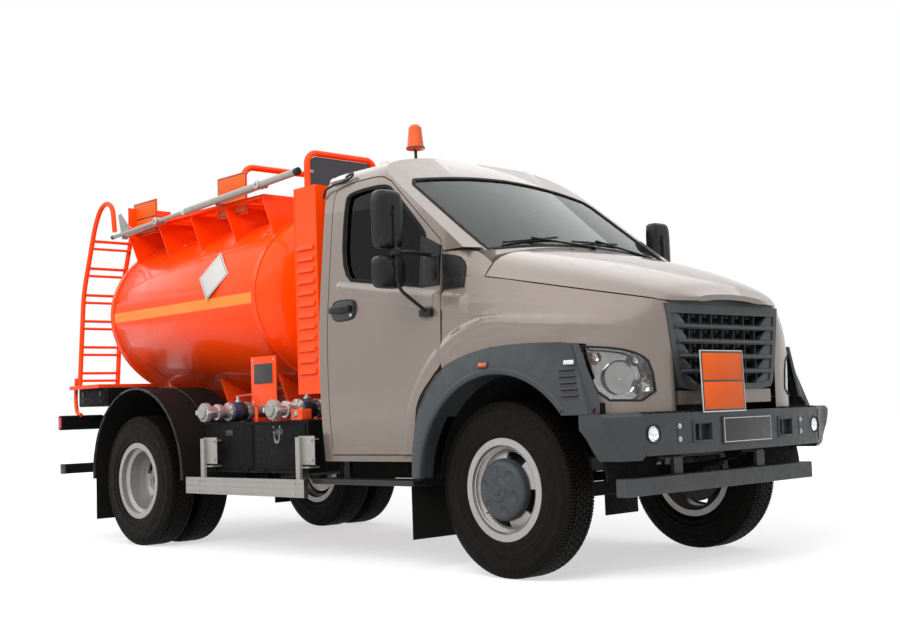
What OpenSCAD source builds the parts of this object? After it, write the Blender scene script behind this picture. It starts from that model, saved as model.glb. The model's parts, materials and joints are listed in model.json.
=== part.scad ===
// Bonneted four-wheel fuel tanker truck with twin rear wheels.
// Millimetres. X points forward, Y to the left side, Z up, and the ground is Z = 0.
// Inside the modules X is counted from the front axle; at_axle() moves it to the middle of the length.

/* [Overall] */
// Front axle to the bumper's face
front_overhang = 950; // [940:5:990]
// Rear axle behind the middle of the tank
axle_back = 345; // [330:5:360]
// Tank's rear seam back to the tail beam
tail_l = 850; // [830:5:870]

/* [Wheels] */
// Outer diameter of a tyre
tyre_od = 980; // [960:2:1000]
// Section width of a tyre
tyre_w = 236; // [226:2:242]
// Bead seat diameter of a rim
rim_d = 508; // [500:2:516]
// Middle of the left front tyre to the middle of the right one
track_f = 1740; // [1730:5:1755]
// Middle of the left pair of tyres to the middle of the right pair
track_r = 1690; // [1680:5:1700]
// Spacing of the two tyres in a pair
dual_pitch = 290; // [280:2:300]
// Hand holes in a disc wheel
hand_holes = 4; // [3:1:5]
// Wheel spindle diameter at the front
spindle_d = 68; // [60:2:74]
// Wheel spindle diameter at the rear
axle_pin_d = 88; // [80:2:96]

/* [Chassis frame] */
// Width over the side rails
frame_w = 864; // [850:2:880]
// Height of a side rail
rail_h = 180; // [170:5:190]
// Flange width of a side rail
rail_flange = 70; // [60:2:76]
// Plate thickness of a side rail
rail_t = 8; // [6:1:10]
// Top of the side rails above the ground
rail_top = 830; // [825:5:835]

/* [Cab] */
// Greatest width of the cab
cab_w = 2060; // [2040:5:2080]
// Front axle back to the cab's rear wall
cab_back = 1560; // [1550:5:1580]
// Bottom of the sills
sill_z = 642; // [635:1:650]
// Crown of the roof
roof_z = 2605; // [2590:5:2620]
// Thickness of the doors and walls
wall_t = 46; // [40:2:52]
// Front axle back to the front edge of the doors
door_front = 412; // [405:1:420]
// Front axle back to the rear edge of the doors
door_rear = 1470; // [1455:5:1480]
// Gap round the doors, the bonnet and other shut lines
shut_gap = 7; // [6:0.5:9]
// Thickness of the glass
glass_t = 6; // [5:0.5:8]
// Slope of the windscreen from level
ws_slope = 36.9; // [36:0.1:38]
// Radius of the windscreen's curve
ws_r = 5000; // [4500:100:5500]

/* [Nose] */
// Thickness of the wings
wing_t = 28; // [24:1:32]
// Thickness of the bonnet with its inner panel
bonnet_t = 30; // [26:1:34]
// Radius of the front wheel opening
arch_r = 625; // [620:1:635]
// Front wheel opening, centre ahead of the axle
arch_x = 65; // [55:1:75]
// Front wheel opening, centre above the ground
arch_z = 500; // [495:1:505]
// Width over the wheel arch flares
flare_w = 2190; // [2170:2:2210]

/* [Bumper] */
// Width of the bumper over its end caps
bumper_w = 2220; // [2190:5:2240]
// Top of the bumper
bumper_top = 885; // [880:1:890]
// Bottom of the bumper
bumper_bottom = 668; // [660:1:675]
// Length of the lower guard bar
bar_l = 1790; // [1700:10:1850]

/* [Tank] */
// Width of the tank
tank_w = 1860; // [1830:5:1880]
// Height of the tank
tank_h = 1380; // [1360:5:1400]
// Middle of the tank above the ground
tank_z = 1800; // [1795:1:1805]
// Straight length of the tank's shell
tank_l = 2050; // [2000:10:2080]
// Depth of a dished end
head_depth = 230; // [200:5:240]
// Cab wall back to the tank's front seam
tank_gap = 840; // [820:5:860]
// Diameter of the hatch's neck
hatch_d = 500; // [460:5:520]
// Diameter of the delivery pipes
pipe_d = 90; // [80:2:96]

/* [Hidden] */
eps = 0.3;
cab_half = cab_w / 2;
tyre_r = tyre_od / 2;
axle_z = tyre_r;
cab_x = -cab_back;
front_y = track_f / 2;
rear_y = track_r / 2;
rail_y = frame_w / 2;
rail_mid = rail_y - rail_flange / 2;
rail_bottom = rail_top - rail_h;
tank_front = cab_x - tank_gap;
tank_rear = tank_front - tank_l;
tank_mid = (tank_front + tank_rear) / 2;
rear_x = tank_mid - axle_back;
tail_x = tank_rear - tail_l;
overall_l = front_overhang - tail_x;
axle_shift = overall_l / 2 - front_overhang;
tank_top = tank_z + tank_h / 2;
tank_bottom = tank_z - tank_h / 2;
flare_half = flare_w / 2;

// Colours
silver = [0.72, 0.72, 0.72];
beige = [0.66, 0.61, 0.57];
dark_grey = [0.24, 0.26, 0.28];
orange = [1.0, 0.25, 0.05];
black = [0.07, 0.07, 0.08];

// Helpers
module at_axle() { translate([axle_shift, 0, 0]) children(); }
module both() { children(); mirror([0, 1, 0]) children(); }
// A flat shape in X and Z, from y0 to y1
module xz(y0, y1) { translate([0, y1, 0]) rotate([90, 0, 0]) linear_extrude(height = y1 - y0) children(); }
// A flat shape in Y and Z, from x0 to x1
module yz(x0, x1) { translate([x0, 0, 0]) rotate([90, 0, 90]) linear_extrude(height = x1 - x0) children(); }
// A profile of radius and Y, turned about the Y axis
module about_y() { rotate([-90, 0, 0]) rotate_extrude($fn = 96) children(); }
module along_y(y0, y1, r) { translate([0, y0, 0]) rotate([-90, 0, 0]) cylinder(r = r, h = y1 - y0,
    $fn = 48); }
module along_x(x0, x1, r) { translate([x0, 0, 0]) rotate([0, 90, 0]) cylinder(r = r, h = x1 - x0,
    $fn = 48); }
module block(lo, hi) { translate(lo) cube(hi - lo); }
// A round bar between two points
module bar(a, b, r) {
    d = b - a;
    l = norm(d);
    translate(a) rotate([0, acos(d[2] / l), atan2(d[1], d[0])]) cylinder(r = r, h = l, $fn = 32);
}
function arc(cx, cy, r, a0, a1, n = 8) =
    [for (i = [0:n]) let (a = a0 + (a1 - a0) * i / n) [cx + r * cos(a), cy + r * sin(a)]];
function reversed(p) = [for (i = [len(p) - 1:-1:0]) p[i]];
function mirrored(p) = [for (q = p) [-q[0], q[1]]];
// Corner cutting, which rounds a chain of points and keeps its ends
function rounded(p, n) = n == 0 ? p : rounded(concat([p[0]],
    [for (i = [0:len(p) - 2], s = [0.25, 0.75]) p[i] * (1 - s) + p[i + 1] * s], [p[len(p) - 1]]), n - 1);
// A smooth run of rows between the rows of a table
function blend4(a, b, c, d, t) = 0.5 * (2 * b + (c - a) * t + (2 * a - 5 * b + 4 * c - d) * t * t
    + (3 * b - a - 3 * c + d) * t * t * t);
function smooth_rows(rows, n) = let (last = len(rows) - 1) concat(
    [for (i = [0:last - 1], j = [0:n - 1])
        blend4(rows[max(i - 1, 0)], rows[i], rows[i + 1], rows[min(i + 2, last)], j / n)], [rows[last]]);
// A skin over closed rings of equal length, each ring a list of points in space
module loft(rings) {
    n = len(rings[0]);
    m = len(rings);
    points = [for (r = rings, p = r) p];
    sides = [for (i = [0:m - 2], j = [0:n - 1]) let (a = i * n + j, b = i * n + (j + 1) % n) each
        [[a, b, a + n], [b, b + n, a + n]]];
    ends = [[for (j = [n - 1:-1:0]) j], [for (j = [0:n - 1]) (m - 1) * n + j]];
    polyhedron(points, concat(sides, ends));
}

// A panel between two skins, each a list of rows of points, all rows of equal length
module panel(outer, inner) {
    m = len(outer);
    n = len(outer[0]);
    k = m * n;
    points = concat([for (r = outer, p = r) p], [for (r = inner, p = r) p]);
    skin = [for (i = [0:m - 2], j = [0:n - 2]) let (a = i * n + j) each [[a, a + 1, a + n], [a + 1,
        a + n + 1, a + n]]];
    under = [for (f = skin) [f[2] + k, f[1] + k, f[0] + k]];
    edges = concat([for (j = [0:n - 2], i = [0, m - 1]) i == 0 ? [j + 1, j, j + k, j + k + 1]
            : [i * n + j, i * n + j + 1, i * n + j + 1 + k, i * n + j + k]],
        [for (i = [0:m - 2], j = [0, n - 1]) j == 0 ? [i * n, (i + 1) * n, (i + 1) * n + k, i * n + k]
            : [(i + 1) * n + j, i * n + j, i * n + j + k, (i + 1) * n + j + k]]);
    walls = [for (q = edges) each [[q[0], q[1], q[2]], [q[0], q[2], q[3]]]];
    polyhedron(points, concat(skin, under, walls));
}

// Wheels. The outer side of a wheel is +Y here, and the right-hand ones are mirrored.
bead_r = rim_d / 2 + 2;
flange_r = bead_r + 30;
flange_y = 100;
module tyre() {
    side_r0 = flange_r + 6;
    side_r1 = tyre_r - 26;
    half = tyre_w / 2;
    side = [for (i = [0:10]) let (r = side_r0 + (side_r1 - side_r0) * i / 10)
        [r, flange_y + (half - flange_y) * sin(20 + 150 * i / 10)]];
    edge = concat([[bead_r, flange_y - 30], [bead_r, flange_y - 1], [flange_r, flange_y - 1]], side,
        [[tyre_r - 12, half - 22], [tyre_r - 4, half - 36], [tyre_r, half - 66]]);
    color(black) about_y() polygon(concat(edge, reversed([for (p = edge) [p[0], -p[1]]])));
}
module rim_barrel() {
    seat = bead_r - eps;
    lip = flange_y + 8;
    outer = [[flange_r, lip], [flange_r, flange_y], [seat, flange_y], [seat, 62], [seat - 26, 46]];
    inner = [[seat - 35, 50], [seat - 9, 67], [seat - 9, lip]];
    half = concat(outer, [for (p = reversed(outer)) [p[0], -p[1]]]);
    under = concat([for (p = reversed(inner)) [p[0], -p[1]]], inner);
    about_y() polygon(concat(half, under));
}
// Sector-shaped hand holes through a disc between two radii
module hand_hole_cut(r0, r1, y0, y1, width, first) {
    for (i = [0:hand_holes - 1]) rotate([0, first + i * 360 / hand_holes, 0]) rotate([-90, 0, 0])
        translate([0, 0, y0]) rotate([0, 0, -width / 2]) rotate_extrude(angle = width, $fn = 96)
            translate([r0, 0]) square([r1 - r0, y1 - y0]);
}
disc_y = 78;
module rim_front() {
    color(silver) difference() {
        union() {
            rim_barrel();
            about_y() polygon([[bead_r - 36, 34], [bead_r - 30, 50], [196, 62], [150, disc_y], [60,
                disc_y], [60, 66],
                [146, 66], [190, 50]]);
            along_y(-45, 70, 78);
        }
        along_y(-46, disc_y + 1, spindle_d / 2 + eps);
        hand_hole_cut(162, 210, 30, 90, 42, 20);
    }
}
module hub_cap() {
    color(dark_grey) difference() {
        about_y() polygon(concat([[0, disc_y + 20], [150, disc_y + 20], [150, disc_y + eps], [174,
            disc_y + eps],
            [174, disc_y + 12]], arc(120, disc_y + 12, 54, 20, 80, 6), [[70, disc_y + 72], [58,
                disc_y + 84], [0, disc_y + 84]]));
        for (i = [0:5]) rotate([0, 15 + 60 * i, 0]) translate([118, disc_y + 96, 0]) sphere(r = 42,
            $fn = 48);
    }
}
hub_r = 92;
module rims_rear() {
    inner = -dual_pitch / 2;
    outer = dual_pitch / 2;
    color(silver) difference() {
        union() {
            translate([0, inner, 0]) rim_barrel();
            translate([0, outer, 0]) rim_barrel();
            for (side = [1, -1]) about_y() polygon([for (q = [[bead_r - 34, outer - 17], [200, 60],
                [165, 16], [60, 16],
                [60, 2], [172, 2], [210, 52], [bead_r - 30, outer - 33]]) [q[0], side * q[1]]]);
            along_y(-200, 96, hub_r);
            along_y(-200, -60, 196);
        }
        along_y(-201, 70, axle_pin_d / 2 + eps);
        hand_hole_cut(178, 198, -70, 70, 36, 30);
        for (i = [0:9]) rotate([0, 36 * i, 0]) translate([76, 0, 0]) along_y(86, 97, 9);
    }
}
module tyres_rear() {
    for (y = [-dual_pitch / 2, dual_pitch / 2]) translate([0, y, 0]) tyre();
}
module front_wheel_place() { translate([0, front_y, axle_z]) children(); }
module rear_wheel_place() { translate([rear_x, rear_y, axle_z]) children(); }

// Front axle, knuckles and steering
king_y = front_y - 125;
king_r = 20;
ear_in = 46;
ear_out = 92;
arm_x = -175;
arm_y = king_y;
arm_top = axle_z - 46;
arm_t = 26;
rod_r = 16;
spring_t = 54;
spring_w = 70;
beam_top = axle_z + 10;
module front_axle() {
    color(black) union() {
        block([-40, -king_y + 120, axle_z - 80], [40, king_y - 120, axle_z - 6]);
        both() block([-40, rail_mid - spring_w / 2 - 15, axle_z - 80], [40, king_y - 48, beam_top]);
        both() block([-40, king_y - 60, axle_z - ear_in + 6], [40, king_y, beam_top]);
        both() translate([0, king_y, axle_z - ear_in + eps]) cylinder(r = 44, h = 2 * ear_in - 2 * eps,
            $fn = 48);
        both() translate([0, king_y, axle_z - ear_out - 6]) cylinder(r = king_r, h = 2 * ear_out + 12,
            $fn = 48);
    }
}
module knuckle() {
    yoke0 = king_y + 56;
    yoke1 = king_y + 76;
    color(black) difference() {
        union() {
            for (z = [axle_z + ear_in, axle_z - ear_out]) translate([0, 0, z]) {
                translate([0, king_y, 0]) cylinder(r = 40, h = ear_out - ear_in, $fn = 48);
                block([-40, king_y, 0], [40, yoke1, ear_out - ear_in]);
            }
            block([-44, yoke0, axle_z - ear_out], [44, yoke1, axle_z + ear_out]);
            translate([0, 0, axle_z]) along_y(yoke1 - 10, yoke1, 190);
            translate([0, 0, axle_z]) along_y(yoke1 - 1, front_y + 60, spindle_d / 2);
            block([arm_x - 22, arm_y - 18, arm_top - arm_t], [-30, arm_y + 30, arm_top]);
        }
        translate([0, king_y, 0]) cylinder(r = king_r + eps, h = 2 * axle_z, $fn = 48);
        translate([arm_x, arm_y, 0]) cylinder(r = 12 + eps, h = axle_z, $fn = 48);
    }
}
module tie_rod() {
    z = arm_top - arm_t - rod_r - 4;
    color(black) union() {
        translate([arm_x, 0, z]) along_y(-arm_y, arm_y, rod_r);
        both() translate([arm_x, arm_y, z - rod_r - 4]) cylinder(r = 22, h = 2 * rod_r + 4, $fn = 48);
        both() translate([arm_x, arm_y, z]) cylinder(r = 12, h = arm_top + 8 - z, $fn = 48);
    }
}

// Rear axle and springs
rear_spring_y = rail_y + 78;
rear_seat = axle_z + 70;
module rear_axle() {
    nose = 330;
    color(black) translate([rear_x, 0, axle_z]) union() {
        along_y(-rear_y + 240, rear_y - 240, 55);
        both() along_y(rear_y - 241, rear_y + 60, axle_pin_d / 2);
        both() along_y(rear_y - 262, rear_y - 206, 110);
        sphere(r = 165, $fn = 64);
        along_x(0, nose - 60, 95);
        along_x(nose - 61, nose, 60);
        both() block([-60, rear_spring_y - 40 - rear_y + rear_y, 0], [60, rear_spring_y + 40,
            rear_seat - axle_z]);
    }
}
// A pack of leaves in one outline, bowed upwards at its ends and stepped underneath
module leaf_pack(half, rise, leaves, thick) {
    r = (half * half + rise * rise) / (2 * rise);
    ends = [for (i = [0:leaves - 1]) asin(half * (1 - i * 0.18) / r)];
    lows = [for (i = [0:leaves - 1]) r - thick * (leaves - 1 - i)];
    right = [for (i = [0:leaves - 1]) each arc(0, r, lows[i], -90 + ends[i],
        -90 + (i == leaves - 1 ? 0 : ends[i + 1]), i == leaves - 1 ? 4 : 1)];
    top = arc(0, r, r - thick * leaves, -90 - ends[0], -90 + ends[0], 14);
    low = concat(right, [for (i = [len(right) - 2:-1:0]) [-right[i][0], right[i][1]]]);
    polygon(concat(top, low));
}
leaf_half_f = 600;
leaf_half_r = 640;
leaf_rise = 62;
function leaf_tip(half,
    t) = let (r = (half * half + leaf_rise * leaf_rise) / (2 * leaf_rise)) r - (r - t) * cos(asin(half / r));
// Spring packs, and the hangers under and beside the rails that hold their ends
module leaf_springs() {
    end_f = beam_top + leaf_tip(leaf_half_f, spring_t) + 2 * eps;
    end_r = rear_seat + leaf_tip(leaf_half_r, spring_t * 4 / 3) + 2 * eps;
    color(black) both() {
        translate([0, 0, beam_top + eps]) xz(rail_mid - spring_w / 2, rail_mid + spring_w / 2)
            leaf_pack(leaf_half_f, leaf_rise, 3, spring_t / 3);
        translate([rear_x, 0, rear_seat + eps]) xz(rear_spring_y - spring_w / 2,
            rear_spring_y + spring_w / 2)
            leaf_pack(leaf_half_r, leaf_rise, 4, spring_t / 3);
        for (x = [-leaf_half_f, leaf_half_f])
            block([x - 45, rail_mid - spring_w / 2, end_f], [x + 45, rail_y, rail_bottom - eps]);
        for (x = [rear_x - leaf_half_r, rear_x + leaf_half_r])
            block([x - 45, rail_y + eps, end_r], [x + 45, rear_spring_y + spring_w / 2, rail_top - 30]);
    }
}

// Chassis frame: two channel rails
frame_front = front_overhang - 190;
frame_tail = tail_x + 110;
cab_floor = 902;
sub_h = 60;
cross_x = [frame_front - 60, -900, cab_x - 420, rear_x + 620, rear_x - 480, frame_tail + 60];
tow_r = 21;
tow_z = rail_bottom + 60;
module frame() {
    color(black) both() difference() {
        block([frame_tail, rail_y - rail_flange, rail_bottom], [frame_front, rail_y, rail_top]);
        block([frame_tail - 1, rail_y - rail_flange - 1, rail_bottom + rail_t],
            [frame_front + 1, rail_y - rail_t, rail_top - rail_t]);
    }
}
// Cross members between the rails, cab mounts on them, and a tow jaw on the last one
module cross_members() {
    reach = rail_y - rail_t - eps;
    color(black) difference() {
        union() {
            for (x = cross_x) block([x - 40, -reach, rail_bottom + 50], [x + 40, reach, rail_top - 30]);
            both() for (x = [-700, cab_x + 140]) translate([x, rail_mid, rail_top + eps])
                cylinder(r = 34, h = cab_floor - rail_top - 2 * eps, $fn = 32);
            block([frame_tail - 60, -55, tow_z - 35], [frame_tail + 70, 55, tow_z + 35]);
        }
        block([frame_tail - 61, -56, tow_z - 15], [frame_tail + 10, 56, tow_z + 15]);
        translate([frame_tail - 25, 0, tow_z - 40]) cylinder(r = tow_r, h = 80, $fn = 48);
    }
}
engine_x0 = -60;
engine_x1 = 600;
gear_x = -780;
shaft_z = 640;
module engine() {
    color(dark_grey) union() {
        block([engine_x0, -260, rail_bottom - 20], [engine_x1, 260, 1330]);
        block([gear_x, -150, shaft_z - 90], [engine_x0 + 1, 150, rail_top + 40]);
        block([180, -rail_y + 10, rail_top + eps], [280, rail_y - 10, rail_top + 44]);
    }
}
module drive_shaft() {
    a = [gear_x - eps, 0, shaft_z];
    b = [rear_x + 330 + eps, 0, axle_z];
    color(black) bar(a + [-2.5, 0, 0], b + [2.5, 0, 0], 40);
}

// Cab. Side and front outlines, and a leaning cylinder for the windscreen, bound one hollow body.
cab_nose = -118;
cowl_half = cab_half - 154;
ws_x = -95;
ws_z = 1892;
ws_l = 922;
door_bottom = sill_z + 44;
function ws_sag(y) = ws_r - sqrt(ws_r * ws_r - y * y);
// All that lies behind the windscreen's curved face, moved back by inset
module ws_bound(inset) {
    half = cab_half + 60;
    face = [for (i = [-12:12]) let (y = half * i / 12) [-ws_sag(y) - inset, y]];
    ws_frame() linear_extrude(height = 6000, center = true) polygon(concat(face, [[-4000, half],
        [-4000, -half]]));
}
module ws_frame() { translate([ws_x, 0, ws_z]) rotate([0, ws_slope - 90, 0]) children(); }
module cab_side() {
    polygon(concat([[cab_x, sill_z], [cab_x, roof_z - 175]],
        rounded([[cab_x, roof_z - 175], [cab_x + 10, roof_z - 60], [cab_x + 120, roof_z - 20],
            [cab_x + 330, roof_z],
            [cab_x + 560, roof_z - 20], [cab_x + 700, roof_z - 90]], 2),
        [[-560, roof_z - 330], [cab_nose, 1940], [cab_nose, 1000], [-500, sill_z]]));
}
module cab_front() {
    w = cab_half;
    half = rounded([[w - 28, sill_z], [w, 1000], [w, 1480], [w - 30, 1800], [w - 82, 2330], [w - 120,
        roof_z - 130],
        [w - 300, roof_z - 55], [w - 620, roof_z - 12], [0, roof_z]], 2);
    polygon(concat(half, reversed(mirrored(half))));
}
module cab_solid(inset) {
    intersection() {
        xz(-cab_half - 1, cab_half + 1) offset(delta = -inset) cab_side();
        yz(-cab_back - 1, 400) offset(delta = -inset) cab_front();
        ws_bound(inset);
    }
}
module arch_clear() { translate([arch_x, 0, arch_z]) along_y(-cab_half - 200, cab_half + 200,
    arch_r + 40); }
// Door outline, seen from the right side
function door_points() = concat([[-door_rear, door_bottom], [-door_rear, 2270]],
    rounded([[-door_rear, 2270], [-door_rear + 12, 2390], [-1290, 2412], [-1010, 2415], [-905, 2360]], 2),
    [[-430, 1935], [-door_front, 1880], [-door_front, 1225]],
    rounded([[-door_front, 1225], [-440, 1172], [-612, 1015], [-659, 850], [-662, door_bottom]], 2));
module door_outline() { polygon(door_points()); }
module window_outline() {
    polygon(rounded([[-1100, 1756], [-1335, 1792], [-1345, 2300], [-1290, 2344], [-960, 2350], [-880,
        2300], [-580, 2010],
        [-560, 1960], [-560, 1676], [-640, 1688], [-1100, 1756]], 2));
}
module ws_outline(grow) {
    polygon([[-850 - grow, 42 - grow], [850 + grow, 42 - grow], [852 + grow, 300], [842 + grow,
        ws_l - 90], [800, ws_l - 30 + grow], [0, ws_l - 6 + grow],
        [-800, ws_l - 30 + grow], [-842 - grow, ws_l - 90], [-852 - grow, 300]]);
}
// The windscreen's outline pushed through along its own normal
module ws_cut(grow) { ws_frame() rotate([0, 90, 0]) rotate([0, 0, 90]) translate([0, 0,
    -260]) linear_extrude(height = 500) ws_outline(grow); }
beacon_x = -1300;
beacon_y = -370;
beacon_r = 9;
module cab_shell() {
    color(beige) difference() {
        union() {
            difference() {
                cab_solid(0);
                difference() {
                    cab_solid(wall_t);
                    block([-2000, -1100, 0], [0, 1100, cab_floor + 40]);
                }
                block([-2000, -cab_half + 90, 0], [0, cab_half - 90, cab_floor]);
            }
            both() translate([hood_pin[0], 0, hood_pin[1]]) along_y(arm_at - 40, arm_at + 40, 5);
            both() for (y = [arm_at - 44, arm_at + 30]) block([cab_nose - 2, y, hood_pin[1] - 10],
                [hood_pin[0] + 6.5, y + 14, hood_pin[1] + 8]);
            both() block([-690, cowl_half - 30, cab_floor + 1], [cab_nose - 1, cowl_half, 1850]);
            both() yz(-door_front + 12, -door_front + 80) polygon([[cowl_half - 30, 1216],
                [cab_half - 46, 1216],
                [cab_half - 46, 1480], [cab_half - 80, 1700], [cab_half - 80, 1850], [cowl_half - 30,
                    1850]]);
        }
        arch_clear();
        translate([beacon_x, beacon_y, roof_z - 200]) cylinder(r = beacon_r + eps, h = 300, $fn = 32);
        both() xz(cab_half - 190, cab_half + 10) offset(delta = shut_gap) door_outline();
        ws_cut(0);
        // the wings cover the cab's sides ahead of the doors
        both() yz(-door_front - shut_gap, 0) polygon([[cab_half - 46.2, 0], [cab_half - 46.2, 1480],
            [cab_half - 80.2, 1700], [cab_half - 80.2, 1870], [cab_half + 10, 1870], [cab_half + 10, 0]]);
        both() block([-door_front + 81, cowl_half, 0], [0, cab_half + 10, 1870]);
        both() block([-door_front - shut_gap, cowl_half, 0], [-door_front + 11, cab_half + 10, 1870]);
        both() block([-door_front - 260, cowl_half, 0], [0, cab_half + 10, 1215]);
    }
}
module windscreen() {
    color([0.2, 0.3, 0.3, 0.4]) intersection() {
        difference() {
            ws_bound(6);
            ws_bound(6 + glass_t);
        }
        ws_cut(-0.5);
    }
}
// Doors: a slice of the cab's wall, with its window cut, hinged at the front edge
module door_shell() {
    difference() {
        intersection() {
            cab_solid(0);
            xz(cab_half - 190, cab_half + 10) door_outline();
        }
        cab_solid(wall_t);
        block([-2000, 0, 0], [0, cab_half - 82, 760]);
        xz(cab_half - 300, cab_half + 10) window_outline();
    }
}
handle_x = -door_rear + 165;
module door() {
    color(beige) union() {
        door_shell();
    }
}
module door_glass() {
    color([0.2, 0.3, 0.3, 0.4]) intersection() {
        difference() {
            cab_solid(wall_t / 2 - glass_t / 2);
            cab_solid(wall_t / 2 + glass_t / 2);
        }
        xz(cab_half - 300, cab_half + 10) offset(delta = -0.5) window_outline();
    }
}
hinge_x = -door_front - 2;
hinge_y = cab_half + 2;
// Mirrors on the door: one tall, one wide, on a bent tube
mirror_x = -560;
mirror_y = cab_half + 245;
module mirrors() {
    color(black) union() {
        translate([0, mirror_y, 2050]) yz(mirror_x - 40, mirror_x + 34) offset(r = 30) square([136,
            286], center = true);
        translate([0, mirror_y, 1745]) yz(mirror_x - 40, mirror_x + 44) offset(r = 30) square([150,
            130], center = true);
        bar([mirror_x + 30, mirror_y - 10, 1640], [mirror_x + 30, mirror_y - 10, 2160], 11);
        bar([mirror_x + 30, mirror_y - 10, 1856], [-500, cab_half - 26, 1856], 13);
        bar([mirror_x + 30, mirror_y - 10, 1645], [-500, cab_half + 14, 1515], 10);
        block([-560, cab_half + eps, 1490], [-470, cab_half + 30, 1535]);
        // black corner panel in front of the window
        intersection() {
            difference() { cab_solid(-10); cab_solid(-eps); }
            xz(cab_half - 300, cab_half + 60) polygon([[-590, 1690], [-door_front - 8, 1690],
                [-door_front - 8, 1900], [-600, 1985]]);
        }
    }
}
// Inside the cab
module seats() {
    color([0.15, 0.15, 0.16]) {
        for (y = [[-800, -20], [180, 780]]) {
            hull() for (x = [-1330, -900]) translate([x, 0, 1180]) both_y(y, 60) sphere(r = 60, $fn = 16);
            hull() for (z = [1240, 1800]) translate([-1384 - (z - 1240) * 0.1, 0, z]) both_y(y,
                60) sphere(r = 58, $fn = 16);
            block([-1340, y[0] + 80, cab_floor + 40 + eps], [-920, y[1] - 80, 1121]);
        }
    }
}
module both_y(y, r) { for (v = [y[0] + r, y[1] - r]) translate([0, v, 0]) children(); }
module dashboard() {
    color([0.13, 0.13, 0.14]) xz(-cowl_half + 30 + eps, cowl_half - 30 - eps)
        polygon(rounded([[-190, 1500], [-190, 1790], [-330, 1836], [-480, 1800], [-560, 1690], [-500,
            1520], [-190, 1500]], 2));
    // steering column
    color([0.13, 0.13, 0.14]) translate(wheel_c) rotate([0, wheel_lean, 0]) translate([0, 0,
        -360]) cylinder(r = 30, h = 332 - eps, $fn = 32);
}
wheel_c = [-760, 470, 1740];
wheel_lean = -52;
module steering_wheel() {
    color(black) translate(wheel_c) rotate([0, wheel_lean, 0]) union() {
        rotate_extrude($fn = 64) translate([195, 0]) circle(r = 15, $fn = 24);
        translate([0, 0, -28]) cylinder(r = 62, h = 34, $fn = 48);
        for (a = [0, 120, 240]) rotate([0, 0, a]) block([0, -16, -10], [190, 16, 4]);
    }
}
module wipers() {
    color(black) for (y = [[-640, 20], [-60, 600]]) ws_frame() {
        lift = 8 - ws_sag(y[0] + 180);
        foot = eps + 12 * abs(y[1]) / ws_r;
        bar([foot - ws_sag(y[1]), y[1], 20], [22 - ws_sag(y[1]), y[1], 20], 12);
        bar([14 - ws_sag(y[1]), y[1], 20], [lift + 8, y[0] + 180, 112], 7);
        bar([7.3 - ws_sag(y[0] - 60), y[0] - 60, 90], [7.3 - ws_sag(y[0] + 420), y[0] + 420, 134], 7);
    }
}

// Nose. One table of cross sections shapes the bonnet and the wings.
// Columns: x, crown z, ridge y, ridge z, seam y, seam z, shoulder y, shoulder z, side y
nose_rows = [
    [-400, 1905, 862, 1850, 990, 1716, 1026, 1460, 1030],
    [-86, 1892, 842, 1827, 967, 1689, 1018, 1450, 1028],
    [200, 1830, 780, 1750, 916, 1632, 1004, 1430, 1016],
    [480, 1746, 690, 1668, 812, 1572, 950, 1400, 972],
    [680, 1668, 604, 1600, 690, 1528, 812, 1380, 850],
    [790, 1612, 530, 1553, 590, 1502, 670, 1364, 690],
    [830, 1580, 470, 1530, 520, 1488, 540, 1350, 520]];
lip_row = [885, 1530, 300, 1512, 330, 1486, 400, 1340, 400];
side_low = 880;
hood_pin = [-98, 1881];
function bonnet_chain(r, t) = let (h = rounded([[r[4] - t, r[5]], [r[2] - t * 0.8, r[3] - t],
    [r[2] * 0.5, r[1] * 0.8 + r[3] * 0.2 - t], [0, r[1] - t]], 2))
    concat(h, [for (i = [len(h) - 2:-1:0]) [-h[i][0], h[i][1]]]);
function ring_at(x, chain) = [for (p = chain) [x, p[0], p[1]]];
bonnet_rows = smooth_rows(concat([for (i = [1:len(nose_rows) - 1]) nose_rows[i]], [lip_row]), 2);
module bonnet() {
    color(beige) panel([for (r = bonnet_rows) ring_at(r[0], bonnet_chain(r, 0))],
        [for (r = bonnet_rows) ring_at(r[0], bonnet_chain(r, bonnet_t))]);
}
// Arms under the bonnet, bored for the hinge pins on the cowl
arm_at = 205;
function bonnet_under(r) = lookup(arm_at + 12, [for (p = bonnet_chain(r, bonnet_t)) [p[0], p[1]]]) - eps;
module bonnet_hinges() {
    top = [for (r = bonnet_rows) if (r[0] < 260) [r[0], bonnet_under(r)]];
    color(dark_grey) both() difference() {
        union() {
            translate([hood_pin[0], 0, hood_pin[1]]) along_y(arm_at - 12, arm_at + 12, 11);
            xz(arm_at - 12, arm_at + 12) polygon(concat(top, [[top[len(top) - 1][0],
                top[len(top) - 1][1] - 30], [-60, top[0][1] - 44], [hood_pin[0] - 10, top[0][1] - 44],
                [hood_pin[0] - 10, hood_pin[1]], [-92, hood_pin[1]], [-92, top[0][1]]]));
        }
        translate([hood_pin[0], 0, hood_pin[1]]) along_y(arm_at - 30, arm_at + 30, 5 + eps);
    }
}
function wing_chain(r, t) = rounded([[r[4] + 2 - t * 0.9, r[5] - shut_gap - t * 0.4], [r[6] - t,
    r[7] - t * 0.2], [r[8] - t, 1200], [r[8] - t - 8, side_low]], 2);
wing_rows = smooth_rows(nose_rows, 2);
module wing_skin(t) {
    panel([for (r = wing_rows) ring_at(r[0], wing_chain(r, 0))], [for (r = wing_rows) ring_at(r[0],
        wing_chain(r, t))]);
}
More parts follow.
